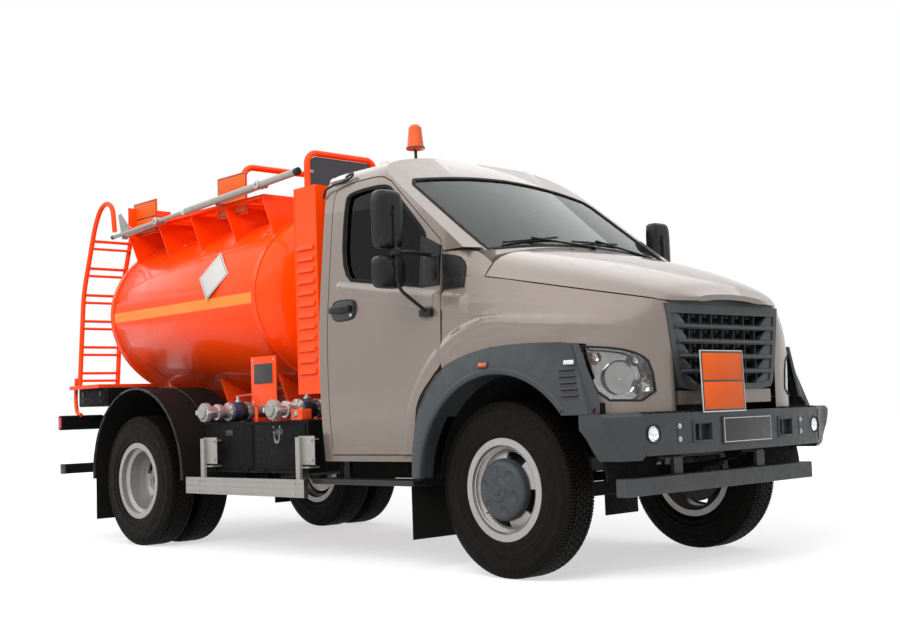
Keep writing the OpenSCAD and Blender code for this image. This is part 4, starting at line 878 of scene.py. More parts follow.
# the beacon's thin stem is black, and a grey band runs round its foot
beaconStem = {"x": -1.300, "y": -0.370, "foot": 2.540, "top": 2.696, "radius": 0.0104}
bm = bmesh.new()
at = spot(beaconStem["x"], beaconStem["y"], 0.0)
turned(bm, [(beaconStem["radius"], beaconStem["foot"]), (beaconStem["radius"], beaconStem["top"]),
            (beaconStem["radius"] - 0.003, beaconStem["top"])], at, (0, 0, 1), 24, 0)
turned(bm, [(0.0625, 2.6985), (0.0640, 2.7010), (0.0640, 2.7070), (0.0625, 2.7095)], at, (0, 0, 1), 48, 1)
finishMesh("beaconStem", bm, ("dark", "hub"), "chassis")
print("markings, plates and bumper")


# surface finder on the solids
trees = {}


def skin(node, start, ahead):
    if node not in trees:
        probe = bmesh.new()
        probe.from_mesh(frame["nodes"][node].data)
        trees[node] = BVHTree.FromBMesh(probe)
        probe.free()
    hit = trees[node].ray_cast(Vector(start), Vector(ahead).normalized())
    return hit[0], hit[1]


# headlamps: a clear cover, a bright back and round reflectors
lampUnits = ((-0.035, 1.078, 0.088, 0.030), (0.082, 1.030, 0.046, 0.020), (-0.175, 1.190, 0.034, 0.018),
             (0.035, 1.165, 0.026, 0.016))


def sweepLoop(bm, path, normal, wide, deep):
    # a flat rounded strip carried round a closed path
    rings = []
    count = len(path)
    for i, place in enumerate(path):
        along = (path[(i + 1) % count] - path[i - 1]).normalized()
        across = along.cross(normal).normalized()
        section = ((-1, -1), (1, -1), (1, 0.6), (0.6, 1), (-0.6, 1), (-1, 0.6))
        rings.append(closedRing(bm, [place + across * a * wide + normal * b * deep for a, b in section]))
    for i in range(count):
        bmesh.ops.bridge_loops(bm, edges=rings[i] + rings[(i + 1) % count])


def boundaryLine(sheet):
    # the sheet's outer edge as a list of points in order
    edges = [e for e in sheet.edges if e.is_boundary]
    line = [edges[0].verts[0], edges[0].verts[1]]
    used = {edges[0]}
    while True:
        onward = [e for e in line[-1].link_edges if e.is_boundary and e not in used]
        if not onward or len(line) > 2000:
            break
        used.add(onward[0])
        line.append(onward[0].other_vert(line[-1]))
    points = []
    for vert in line[:-1]:
        if not points or (vert.co - points[-1]).length > 0.008:
            points.append(vert.co.copy())
    return points


def lampSpot(side, u, v, depth):
    across, c = -u - 0.060, math.sqrt(0.5)
    return spot(0.700 + c * (depth - across), side * (0.785 + c * (depth + across)), v)


def lampSheet(side):
    sheet = solidCopy("headlamps")
    ahead = Vector((1, side, 0)).normalized()
    away = [f for f in sheet.faces if f.calc_center_median().y * side < 0 or f.normal.dot(ahead) < 0.30]
    bmesh.ops.delete(sheet, geom=away, context="FACES")
    return sheet, ahead


covers, backs, bezels, bulbs = bmesh.new(), bmesh.new(), bmesh.new(), bmesh.new()
for side in (-1.0, 1.0):
    for kind, target in (("cover", covers), ("back", backs), ("bezel", bezels)):
        sheet, ahead = lampSheet(side)
        if kind == "cover":
            bmesh.ops.translate(sheet, verts=sheet.verts, vec=ahead * -0.001)
            bmesh.ops.solidify(sheet, geom=sheet.faces[:], thickness=0.004)
        if kind == "back":
            bmesh.ops.translate(sheet, verts=sheet.verts, vec=ahead * -0.007)
            front = sheet.faces[:]
            pushOut(sheet, front, ahead * -0.075)
            bmesh.ops.delete(sheet, geom=[f for f in front if f.is_valid], context="FACES_ONLY")
        if kind == "bezel":
            line = boundaryLine(sheet)
            bmesh.ops.delete(sheet, geom=sheet.verts[:], context="VERTS")
            sweepLoop(sheet, line, ahead, 0.006, 0.005)
        addMesh(target, sheet)
    for i, (u, v, radius, bulb) in enumerate(lampUnits):
        face, normal = skin("headlamps", lampSpot(side, u, v, 0.4), (-1, -side, 0))
        look = Vector((1.0, side * 0.55, 0.0)).normalized()
        middle = face - look * (0.022 + radius * 0.55)
        bowl = [(radius * math.sin(a), -radius * 0.62 * math.cos(a))
                for a in (0.12, 0.35, 0.65, 0.95, 1.25, math.pi / 2)]
        rim = [(radius * 1.07, 0.004), (radius * 1.07, -radius * 0.5)]
        turned(backs, [(0.0, -radius * 0.62)] + bowl + rim, middle, look, 40, 0)
        turned(bulbs, [(0.0, -radius * 0.05), (bulb * 0.45, -radius * 0.09), (bulb * 0.5, -radius * 0.3),
                       (bulb * 0.4, -radius * 0.6)], middle, look, 24, 1 if i == 2 else 0)
finishMesh("headlampCovers", covers, "lens", "chassis", "headlamps", 30.0)
finishMesh("headlampBacks", backs, "reflector", "chassis", sharp=24.0)
finishMesh("headlampBezels", bezels, "dark", "chassis")
finishMesh("headlampBulbs", bulbs, ("reflector", "amber"), "chassis")

# grille: wedge ends on the bars, thin uprights and a fine mesh behind
grilleRow = {"low": 1.034, "pitch": 0.0824, "open": 0.0564, "rows": 5}
bm = bmesh.new()


def grilleEdge(z):
    return 0.508 - (1.472 - z) * 0.175 - max(0.0, 1.075 - z) * 0.55


for side in (-1.0, 1.0):
    for i in range(grilleRow["rows"]):
        low = grilleRow["low"] + i * grilleRow["pitch"] - 0.002
        high = low + grilleRow["open"] + 0.004
        shape = [(grilleEdge(low), low), (grilleEdge(high), high), (grilleEdge(high) - 0.062, high),
                 (grilleEdge(high) - 0.084, high - 0.010), (grilleEdge(low) - 0.118, low + 0.012),
                 (grilleEdge(low) - 0.118, low)]
        face = flatFace(bm, [spot(0.790, side * y, z) for y, z in shape])
        fresh = pushOut(bm, [face], (0.040, 0, 0))
        rimBevel(bm, fresh, 0.004)
for i in range(grilleRow["rows"]):
    low = grilleRow["low"] + i * grilleRow["pitch"]
    for j in range(-3, 4):
        roundBox(bm, spot(0.785, j * 0.105 - 0.0025, low),
                 spot(0.820, j * 0.105 + 0.0025, low + grilleRow["open"]), 0.001, 1)
    # a rounded nose on each bar
    z = low + grilleRow["open"] + 0.013
    if i < grilleRow["rows"] - 1:
        half = grilleEdge(z) - 0.02
        rod(bm, spot(0.834, -half, z), spot(0.834, half, z), 0.0105, 16)
# the grille's upper edge follows the bonnet
count = 24
low, high = [], []
for k in range(count + 1):
    y = -0.500 + k / count
    hit = skin("bonnet", spot(0.800, y, 1.40), (0, 0, 1))[0]
    low.append(spot(0.806, y, 1.462))
    high.append(spot(0.806, y, max(1.474, min(hit.z - 0.003, 1.540)) if hit else 1.474))
low, high = [bm.verts.new(p) for p in low], [bm.verts.new(p) for p in high]
faces = [bm.faces.new((low[k], low[k + 1], high[k + 1], high[k])) for k in range(count)]
pushOut(bm, faces, (0.022, 0, 0))
finishMesh("grilleBars", bm, "grille", "chassis")
bm = bmesh.new()
for j in range(-20, 21):
    roundBox(bm, spot(0.764, j * 0.022 - 0.001, 1.036), spot(0.767, j * 0.022 + 0.001, 1.440), 0.0)
for k in range(18):
    z = 1.045 + k * 0.0225
    roundBox(bm, spot(0.767, -grilleEdge(z) + 0.03, z - 0.001),
             spot(0.769, grilleEdge(z) - 0.03, z + 0.001), 0.0)
finishMesh("grilleMesh", bm, "dark", "chassis")
bm = bmesh.new()
roundBox(bm, spot(0.700, -0.46, 1.03), spot(0.712, 0.46, 1.44), 0.004)
for k in range(26):
    roundBox(bm, spot(0.712, -0.45, 1.038 + k * 0.0155), spot(0.716, 0.45, 1.042 + k * 0.0155), 0.0)
finishMesh("radiatorCore", bm, "black", "chassis")

# side lamps and the slotted panel at the front of each flare
bm = bmesh.new()
for side in (-1.0, 1.0):
    for x, z, node, wide in ((0.030, 1.262, "front_wings", 0.074), (-0.010, 1.178, "arch_flares", 0.064),
                             (0.575, 1.165, "arch_flares", 0.070)):
        face, normal = skin(node, spot(x, side * 1.6, z), (0, -side, 0))
        if face is None:
            face, normal = spot(x, side * 1.036, z), Vector((0, side, 0))
        slab(bm, face + normal * 0.002, (wide + 0.012, 0.036, 0.010), normal, 0.004)
        slab(bm, face + normal * 0.008, (wide, 0.024, 0.012), normal, 0.005, 1 if x > 0.5 else 2)
    for k in range(5):
        z = 1.115 - k * 0.034
        x = 0.560 + k * 0.010
        face, normal = skin("arch_flares", spot(x, side * 1.6, z), (0, -side, 0))
        if face is None:
            continue
        # each slot is a flat black strip under a grey blade: painted shade
        slab(bm, face - normal * 0.0005, (0.092, 0.020, 0.003), normal, 0.001, 3)
        slab(bm, face + normal * 0.003 + Vector((0, 0, 0.011)), (0.096, 0.008, 0.012), normal, 0.003)
finishMesh("sideLamps", bm, ("grey", "clear", "amber", "plateBlackAndShade"), "chassis")


# filler between each flare and its headlamp
bm = bmesh.new()
for side in (-1.0, 1.0):
    outline = [(0.560, 1.034, 1.268), (0.618, 1.008, 1.262), (0.655, 0.992, 1.130), (0.712, 0.958, 0.950),
               (0.690, 1.034, 0.900), (0.640, 1.036, 1.010)]
    face = flatFace(bm, [spot(x, side * y, z) for x, y, z in outline])
    pushOut(bm, [face], (-0.012, -side * 0.012, 0))
finishMesh("flareFillers", bm, "grille", "chassis")

# doors: handle, window rubber and bracket for the mirror arm
windowLine = ((-1.100, 1.756), (-1.335, 1.792), (-1.345, 2.300), (-1.290, 2.344), (-0.960, 2.350),
              (-0.880, 2.300), (-0.580, 2.010), (-0.560, 1.960), (-0.560, 1.676), (-0.640, 1.688))
cabProfile = ((0.642, 1.002), (1.000, 1.028), (1.480, 1.029), (1.800, 1.000), (2.100, 0.972),
              (2.330, 0.945), (2.475, 0.905))


def cabSide(z):
    for (a, ya), (b, yb) in zip(cabProfile, cabProfile[1:]):
        if z <= b:
            return ya + (yb - ya) * (z - a) / (b - a)
    return cabProfile[-1][1]


def roundedLoop(points, times=2):
    for _ in range(times):
        points = [(a[0] * s + b[0] * (1 - s), a[1] * s + b[1] * (1 - s))
                  for a, b in zip(points, points[1:] + points[:1]) for s in (0.75, 0.25)]
    return points


handlePlate = ((-0.122, 0.016), (-0.108, 0.056), (-0.062, 0.070), (0.070, 0.068), (0.108, 0.052),
               (0.122, 0.012), (0.114, -0.034), (0.086, -0.066), (-0.066, -0.070),
               (-0.108, -0.054), (-0.122, -0.020))


mirror = {"x": -0.512, "stem": 1.262, "head": 1.275}


def headRing(bm, side, z, wide, tall, x, grow):
    # outline of a mirror head: a rectangle with soft corners
    shrink = (1.0 - grow) * min(wide, tall)
    points = []
    for i in range(44):
        a = math.tau * i / 44
        c, t = math.cos(a), math.sin(a)
        size = (abs(c) ** 5 + abs(t) ** 5) ** -0.2
        points.append(spot(x, side * mirror["head"] + c * size * (wide - shrink),
                           z + t * size * (tall - shrink)))
    return closedRing(bm, points)


def cornerPanel(bm, columns, tops, low, side, node):
    # a black panel that lies on the cab's side
    rows = 6
    grid = []
    for x, top in zip(columns, tops):
        line = []
        for r in range(rows + 1):
            z = low + (top - low) * r / rows
            y = cabSide(z)
            if node:
                hit = skin(node, spot(x, side * 1.6, z), (0, -side, 0))[0]
                y = abs(hit.y) if hit else y
            line.append(bm.verts.new(spot(x, side * (y + 0.009), z)))
        grid.append(line)
    faces = [bm.faces.new((one[r], two[r], two[r + 1], one[r + 1]))
             for one, two in zip(grid, grid[1:]) for r in range(rows)]
    pushOut(bm, faces, (0, -side * 0.014, 0))


for side, door in ((-1.0, "door_right"), (1.0, "door_left")):
    out = Vector((0, side, 0))
    bm = bmesh.new()
    loop = [spot(x, side * (cabSide(z) + 0.0005), z) for x, z in roundedLoop(list(windowLine))]
    sweepLoop(bm, loop, out, 0.011, 0.005)
    finishMesh(door + ".windowRubber", bm, "seal", door, sharp=60.0)
    bm = bmesh.new()
    hold, normal = skin(door, spot(-1.300, side * 1.6, 1.590), (0, -side, 0))
    for grow, low, high, index in ((1.0, -0.002, 0.010, 0), (0.84, 0.008, 0.0115, 1)):
        startFaces(bm)
        face = flatFace(bm, [hold + Vector((x * grow, side * low, z * grow))
                             for x, z in roundedLoop(list(handlePlate))])
        fresh = pushOut(bm, [face], out * (high - low))
        rimBevel(bm, fresh, 0.003)
        tintNew(bm, index)
    slab(bm, hold + normal * 0.032 + Vector((-0.014, 0, 0.004)), (0.205, 0.046, 0.022),
         normal, 0.010, 0, segments=3)
    for dx in (-0.092, 0.070):
        slab(bm, hold + normal * 0.017 + Vector((dx, 0, 0.004)), (0.034, 0.040, 0.032), normal, 0.006)
    turned(bm, [(0.0, 0.016), (0.009, 0.016), (0.011, 0.013), (0.011, 0.0)],
           hold + Vector((0.072, 0, -0.034)), out, 20, 2)
    finishMesh(door + ".handle", bm, ("dark", "plateBlackAndShade", "bright"), door)
    # mirror heads on a bent arm, and the black panel in the window's corner
    bm = bmesh.new()
    for z, wide, tall in ((2.050, 0.098, 0.173), (1.745, 0.105, 0.095)):
        rings = [headRing(bm, side, z, wide, tall, x, grow)
                 for x, grow in ((-0.600, 0.95), (-0.596, 0.99), (-0.588, 1.0), (-0.556, 1.0),
                                 (-0.540, 0.975), (-0.528, 0.90), (-0.520, 0.74), (-0.517, 0.45))]
        bridgeRings(bm, rings)
    bentTube(bm, [spot(mirror["x"], side * mirror["stem"], 2.130),
                  spot(mirror["x"], side * mirror["stem"], 1.650),
                  spot(-0.505, side * 1.046, 1.518)], 0.0105, 0.07, 16)
    bentTube(bm, [spot(mirror["x"], side * mirror["stem"], 1.856), spot(-0.505, side * 1.150, 1.862),
                  spot(-0.500, side * 0.990, 1.850)], 0.012, 0.05, 16)
    for z in (2.080, 1.930, 1.790, 1.700):
        slab(bm, spot(-0.516, side * mirror["stem"], z), (0.034, 0.030, 0.026), (1, 0, 0), 0.005)
    slab(bm, spot(mirror["x"], side * mirror["stem"], 1.856), (0.046, 0.050, 0.046),
         (1, 0, 0), 0.010, 0, segments=3)
    slab(bm, spot(-0.515, side * 1.042, 1.513), (0.100, 0.048, 0.032), (0, side, 0), 0.009, 0, segments=3)
    slab(bm, spot(-0.488, side * 1.006, 1.765), (0.135, 0.170, 0.030), (0, side, 0), 0.010, 0, segments=3)
    cornerPanel(bm, (-0.592, -0.548, -0.505, -0.462, -0.418),
                (1.985, 1.964, 1.943, 1.922, 1.902), 1.668, side, None)
    finishMesh("mirrors_" + door[5:] + ".heads", bm, "dark", door, "mirrors_" + door[5:], 34.0)
    # mirror faces, on the side that looks back
    bm = bmesh.new()
    for z, wide, tall in ((2.050, 0.150, 0.300), (1.745, 0.164, 0.150)):
        slab(bm, spot(-0.6015, side * mirror["head"], z), (wide, tall, 0.004), (-1, 0, 0), 0.0015)
        slab(bm, spot(-0.6005, side * mirror["head"], z),
             (wide + 0.014, tall + 0.014, 0.004), (-1, 0, 0), 0.0015, 1)
    finishMesh(door + ".mirrorFaces", bm, ("mirrorFace", "dark"), door)

# the mirror panel carries on along each wing
bm = bmesh.new()
for side in (-1.0, 1.0):
    cornerPanel(bm, (-0.400, -0.360, -0.320, -0.282, -0.250, -0.236),
                (1.848, 1.842, 1.836, 1.822, 1.790, 1.760), 1.640, side, "front_wings")
finishMesh("cowlPanels", bm, "dark", "chassis", sharp=40.0)

# rolled lip along each wheel arch, and dark panels that close the wheel house
arch = {"x": 0.065, "z": 0.500, "start": 40.0, "end": 175.0}
lip = ((0.6245, 1.050), (0.6245, 1.093), (0.6285, 1.0995), (0.638, 1.102), (0.650, 1.1015), (0.659, 1.098),
       (0.664, 1.0905), (0.656, 1.050))
bm = bmesh.new()
for side in (-1.0, 1.0):
    a = math.radians(arch["start"])
    face = flatFace(bm, [spot(arch["x"] + r * math.cos(a), side * y,
                              arch["z"] + r * math.sin(a)) for r, y in lip])
    bmesh.ops.spin(bm, geom=[face], cent=spot(arch["x"], 0, arch["z"]), axis=(0, -1, 0),
                   angle=math.radians(arch["end"] - arch["start"]), steps=54)
finishMesh("flareLips", bm, "grey", "chassis", sharp=50.0)
bm = bmesh.new()
for side in (-1.0, 1.0):
    outline = [(0.630 * math.cos(math.radians(a)), 0.630 * math.sin(math.radians(a)))
               for a in range(15, 166, 5)]
    face = flatFace(bm, [spot(arch["x"] + u, side * 0.470, arch["z"] + v) for u, v in outline])
    pushOut(bm, [face], (0, side * 0.005, 0))
    for x, inner, outer, low, high in ((-0.600, 0.455, 1.010, 0.500, 0.930),
                                       (0.655, 0.500, 0.900, 0.600, 0.950)):
        slab(bm, spot(x, side * (inner + outer) / 2, (low + high) / 2),
             (outer - inner, high - low, 0.006), (1, 0, 0))
    slab(bm, spot(-1.110, side * 0.862, 0.596), (0.960, 0.122, 0.006), (0, side, 0))
finishMesh("wheelHouses", bm, "flap", "chassis")

# black rubber round the windscreen
screen = {"foot": (-0.095, 1.892), "slope": math.radians(36.9), "radius": 5.0}


def screenSpot(y, up, lift):
    sag = screen["radius"] - math.sqrt(screen["radius"] ** 2 - y * y)
    c, s = math.cos(screen["slope"]), math.sin(screen["slope"])
    out = lift - sag
    return spot(screen["foot"][0] - c * up + s * out, y, screen["foot"][1] + s * up + c * out)


edge = [(-0.850, 0.042), (-0.425, 0.042), (0.0, 0.042), (0.425, 0.042), (0.850, 0.042), (0.852, 0.300),
        (0.842, 0.832), (0.800, 0.892), (0.400, 0.906), (0.0, 0.916), (-0.400, 0.906), (-0.800, 0.892),
        (-0.842, 0.832), (-0.852, 0.300)]
bm = bmesh.new()
normal = Vector((math.sin(screen["slope"]), 0, math.cos(screen["slope"])))
path = []
for (ya, ua), (yb, ub) in zip(edge, edge[1:] + edge[:1]):
    for t in (0.0, 0.25, 0.5, 0.75):
        path.append(screenSpot(ya + (yb - ya) * t, ua + (ub - ua) * t, -0.0005))
sweepLoop(bm, path, normal, 0.014, 0.004)
finishMesh("screenRubber", bm, "seal", "chassis", sharp=60.0)

# roof fittings
bm = bmesh.new()
top, normal = skin("cab_shell", spot(-1.33, -0.62, 3.2), (0, 0, -1))
turned(bm, [(0.0, 0.034), (0.014, 0.032), (0.026, 0.024), (0.033, 0.010),
            (0.034, -0.004)], top, (0, 0, 1), 28, 1)
slab(bm, spot(-1.430, -0.930, 2.452), (0.150, 0.034, 0.030), (0, -0.8, 0.6), 0.006, 2)
tubed(bm, [spot(-1.36, -0.925, 2.462), spot(-1.30, -0.915, 2.485), spot(-1.29, -0.935, 2.45),
           spot(-1.34, -0.952, 2.43), spot(-1.45, -0.962, 2.420), spot(-1.545, -0.958, 2.400),
           spot(-1.575, -0.95, 2.35)], 0.008, 0.03, 12, 0)
finishMesh("roofFittings", bm, ("dark", "plateWhite", "bright"), "chassis")
print("lamps, grille and cab fittings")


# ladder in round tube, with gripped rungs
ladder = {"sides": (-0.790, -0.430), "radius": 0.0205, "rungs": 6, "foot": 1.262,
          "run": 1.350, "curl": -0.815}
ladderPath = ((-5.280, 1.264), (-5.190, 2.060), (-4.970, 2.620), (-4.870, 2.760), (-4.755, 2.800),
              (-4.660, 2.740), (-4.632, 2.532))
bm = bmesh.new()
for y in ladder["sides"]:
    bentTube(bm, [spot(x, y, z) for x, z in ladderPath], ladder["radius"], 0.12, 16)
    lathe(bm, [(0.0, 0.0), (0.045, 0.0), (0.045, 0.006), (0.020, 0.008), (0.017, 0.016)],
          spot(-5.280, y, 1.2625), (0, 0, 1), 24)
for k in range(ladder["rungs"]):
    z = ladder["foot"] + (k + 0.5) / ladder["rungs"] * ladder["run"]
    (xa, za), (xb, zb) = ladderPath[:2] if z < ladderPath[1][1] else ladderPath[1:3]
    x = xa + (xb - xa) * (z - za) / (zb - za)
    for dx, dz in ((-0.011, 0.0), (0.011, 0.0), (0.006, -0.066)):
        rod(bm, spot(x + dx, ladder["sides"][0], z + dz),
            spot(x + dx, ladder["sides"][1], z + dz), 0.0115, 12)
    for j in range(14):
        y = ladder["sides"][0] + 0.034 + j * 0.0225
        slab(bm, spot(x, y, z + 0.008), (0.034, 0.007, 0.006), (0, 0, 1), 0.001, 0, (0, 1, 0))
# the outer upright carries on below the platform as a curled foot
curlPath = ((-5.292, 1.330), (-5.312, 1.140), (-5.290, 1.030), (-5.215, 1.012))
bentTube(bm, [spot(x, ladder["curl"], z) for x, z in curlPath], 0.017, 0.06, 14)
finishMesh("ladder.tubes", bm, "tank", "chassis", "ladder", 40.0)

# fittings box under the platform, with a door on its right side
tailBox = {"rear": -5.205, "front": -4.700, "side": -0.840, "inner": -0.320, "low": 1.080, "high": 1.2315}
bm = bmesh.new()
startFaces(bm)
roundBox(bm, spot(tailBox["rear"], tailBox["side"], tailBox["low"]),
         spot(tailBox["front"], tailBox["inner"], tailBox["high"]), 0.010, 3)
tintNew(bm, 0)
doorAt = spot((tailBox["rear"] + tailBox["front"]) / 2, tailBox["side"] - 0.002,
              (tailBox["low"] + tailBox["high"]) / 2 - 0.004)
slab(bm, doorAt, (0.450, 0.112, 0.010), (0, -1, 0), 0.004)
for dx in (-0.150, 0.150):
    slab(bm, doorAt + Vector((dx, -0.009, 0.030)), (0.022, 0.044, 0.010), (0, -1, 0), 0.003, 1)
    stud(bm, doorAt + Vector((dx, -0.005, -0.036)), (0, -1, 0), 0.014, 0.007, 1)
finishMesh("tailBox", bm, ("black", "hub"), "chassis")

# hatch lid: clamps, a grip and a vent
hatch = {"x": -3.425, "top": 2.588, "ring": 0.225, "clamps": 6}
bm = bmesh.new()
for k in range(hatch["clamps"]):
    turn = (k + 0.5) / hatch["clamps"] * math.tau
    place = spot(hatch["x"] + hatch["ring"] * math.cos(turn), hatch["ring"] * math.sin(turn), hatch["top"])
    stud(bm, place, (0, 0, 1), 0.024, 0.016, 1)
gripPath = ((-0.075, 0.026), (-0.075, 0.075), (0.075, 0.075), (0.075, 0.026))
tubed(bm, [spot(hatch["x"] + 0.05, y, hatch["top"] + up) for y, up in gripPath], 0.007, 0.02, 12, 0)
turned(bm, [(0.0, 0.066), (0.030, 0.064), (0.046, 0.052), (0.048, 0.040), (0.026, 0.036), (0.024, 0.0)],
       spot(hatch["x"] - 0.05, 0.0, hatch["top"] + 0.022), (0, 0, 1), 28, 1)
finishMesh("hatchFittings", bm, ("tank", "bright"), "hatch_lid")

# walkway: pressed tread bars on the deck between the hoops
bm = bmesh.new()
for side in (-1.0, 1.0):
    for k in range(26):
        x = -4.36 + k * 0.074
        if abs(x - hatch["x"]) < 0.34:
            continue
        slab(bm, spot(x, side * 0.46, 2.531), (0.46, 0.018, 0.006), (0, 0, 1), 0.002, 0, (1, 0, 0))
finishMesh("walkwayTreads", bm, "tank", "chassis")

# dark sheet inside the front hoop, held by clips on the tube
hoopSheet = {"x": -2.560, "half": 0.3035, "low": 2.552, "high": 2.8775, "corner": 0.064, "thick": 0.004}
bm = bmesh.new()
startFaces(bm)
edgePoints = [(-hoopSheet["half"], hoopSheet["low"]), (hoopSheet["half"], hoopSheet["low"])]
for side, turns in ((1.0, range(0, 91, 15)), (-1.0, range(90, -1, -15))):
    for turn in turns:
        bendY = hoopSheet["half"] - hoopSheet["corner"] * (1.0 - math.cos(math.radians(turn)))
        bendZ = hoopSheet["high"] - hoopSheet["corner"] * (1.0 - math.sin(math.radians(turn)))
        edgePoints.append((side * bendY, bendZ))
sheetFace = flatFace(bm, [spot(hoopSheet["x"] - hoopSheet["thick"] / 2, y, z) for y, z in edgePoints])
pushOut(bm, [sheetFace], (hoopSheet["thick"], 0, 0))
tintNew(bm, 0)
for side in (-1.0, 1.0):
    for z in (2.600, 2.760):
        slab(bm, spot(hoopSheet["x"] + 0.005, side * 0.290, z), (0.034, 0.022, 0.006), (1, 0, 0), 0.002, 1)
        stud(bm, spot(hoopSheet["x"] + 0.008, side * 0.284, z), (1, 0, 0), 0.010, 0.005, 1)
finishMesh("hoopSheet", bm, ("hub", "nut"), "chassis")

# hand rail: end plugs and pivot bolts
rail = {"y": -0.876, "rear": (-3.7915, 2.5019), "front": (-2.4015, 2.5769), "from": -4.510, "to": -1.940}


def railHeight(x):
    (xa, za), (xb, zb) = rail["rear"], rail["front"]
    return za + (zb - za) * (x - xa) / (xb - xa)


bm = bmesh.new()
lean = Vector((rail["front"][0] - rail["rear"][0], 0, rail["front"][1] - rail["rear"][1])).normalized()
for x, z in (rail["rear"], rail["front"]):
    turned(bm, [(0.0, 0.006), (0.022, 0.006), (0.026, 0.002), (0.026, -0.004)],
           spot(x, rail["y"] - 0.028, z), (0, -1, 0), 28, 1)
    stud(bm, spot(x, rail["y"] - 0.033, z), (0, -1, 0), 0.017, 0.007, 0)
for x, radius, way in ((rail["from"], 0.016, -1.0), (rail["to"], 0.025, 1.0)):
    turned(bm, [(0.0, 0.010), (radius * 0.8, 0.009), (radius + 0.002, 0.003), (radius + 0.002, -0.030),
                (radius, -0.032)], spot(x, rail["y"], railHeight(x)), lean * way, 28, 2)
# clamp where the thick tube takes the thin one
x = -3.385
turned(bm, [(0.016, -0.030), (0.024, -0.028), (0.028, -0.010), (0.028, 0.012), (0.0255, 0.016)],
       spot(x, rail["y"], railHeight(x)), lean, 32, 1)
finishMesh("railPivots", bm, ("nut", "bright", "dark"), "hand_rail")

# plate that carries the rail's rear end when it is down, with its stay
bm = bmesh.new()
outline = [(-4.560, 2.660), (-4.520, 2.672), (-4.400, 2.560), (-4.345, 2.535), (-4.345, 2.505),
           (-4.475, 2.452), (-4.500, 2.452)]
face = flatFace(bm, [spot(x, -0.790, z) for x, z in outline])
pushOut(bm, [face], (0, -0.006, 0))
tintedRod(bm, spot(-4.540, -0.792, 2.655), spot(-4.500, -0.792, 2.462), 0.008, 12, 0)
for x, z in ((-4.44, 2.56), (-4.40, 2.52), (-4.47, 2.48)):
    stud(bm, spot(x, -0.796, z), (0, -1, 0), 0.016, 0.006, 1)
finishMesh("railRest", bm, ("galvanised", "nut"), "chassis")

# delivery pipes: caps with levers, valves with red handles, coloured flanges
pipes = {"rear": -2.850, "front": -2.020, "z": 0.985, "end": -1.085}
bm = bmesh.new()
for x in (pipes["rear"], pipes["front"]):
    end = spot(x, pipes["end"], pipes["z"])
    turned(bm, [(0.0, 0.030), (0.040, 0.030), (0.046, 0.026), (0.050, 0.010), (0.066, 0.006),
                (0.068, -0.002), (0.068, -0.030), (0.062, -0.034)], end, (0, -1, 0), 40, 5)
    for side in (-1.0, 1.0):
        # ears that press on the cap
        slab(bm, end + Vector((side * 0.074, 0.012, 0)), (0.016, 0.034, 0.060), (0, -1, 0), 0.004)
        tubed(bm, [end + Vector((side * 0.078, -0.014, 0)), end + Vector((side * 0.090, 0.020, 0)),
                   end + Vector((side * 0.086, 0.085, 0))], 0.006, 0.02, 10, 0)
    turned(bm, [(0.0455, -0.020), (0.056, -0.018), (0.058, 0.0), (0.056, 0.018), (0.0455, 0.020)],
           spot(x, -0.965, pipes["z"]), (0, -1, 0), 36, 0)
    # ball valve between the flanges, with a stem and a long lever
    valve = spot(x, -0.792, pipes["z"])
    turned(bm, [(0.046, -0.052), (0.060, -0.046), (0.072, -0.020), (0.074, 0.0), (0.072, 0.020),
                (0.060, 0.046), (0.046, 0.052)], valve, (0, -1, 0), 36, 1)
    turned(bm, [(0.020, 0.060), (0.024, 0.066), (0.024, 0.082), (0.014, 0.086), (0.012, 0.112),
                (0.0, 0.114)], valve, (0, 0, 1), 24, 0)
    tubed(bm, [valve + Vector((-0.020, 0, 0.108)), valve + Vector((0.040, 0, 0.110)),
               valve + Vector((0.290, 0, 0.122))], 0.011, 0.03, 12, 2)
    for y in (-0.860, -0.884, -0.700, -0.724):
        out = Vector((0, -1 if y in (-0.884, -0.724) else 1, 0))
        for k in range(8):
            turn = (k + 0.5) / 8 * math.tau
            stud(bm, spot(x + 0.057 * math.cos(turn), y,
                          pipes["z"] + 0.057 * math.sin(turn)), out, 0.011, 0.005, 3)
    turned(bm, [(0.046, -0.006), (0.0695, -0.006), (0.0695, 0.006), (0.046, 0.006)],
           spot(x, -0.849, pipes["z"]), (0, -1, 0), 40, 4)
finishMesh("pipeFittings", bm, ("pipe", "hub", "handleRed", "nut", "blue", "galvanised"), "chassis")

# chain that keeps the front cap, fixed at both ends
bm = bmesh.new()
links = 22
for k in range(links):
    t = k / (links - 1)
    swing = 2.0 * t - 1.0
    place = spot(pipes["front"] - 0.020 + 0.026 * swing, -1.045 + 0.02 * t,
                 0.918 - 0.150 * (1.0 - swing ** 4))
    turn = Matrix.Rotation(math.pi / 2 * (k % 2), 3, "Z")
    ring = [place + turn @ Vector((0.0045 * math.cos(a), 0.0, 0.0085 * math.sin(a)))
            for a in (i * math.tau / 10 for i in range(10))]
    sweepLoop(bm, ring, turn @ Vector((0, 1, 0)), 0.0015, 0.0015)
finishMesh("capChain", bm, "bright", "chassis", sharp=60.0)

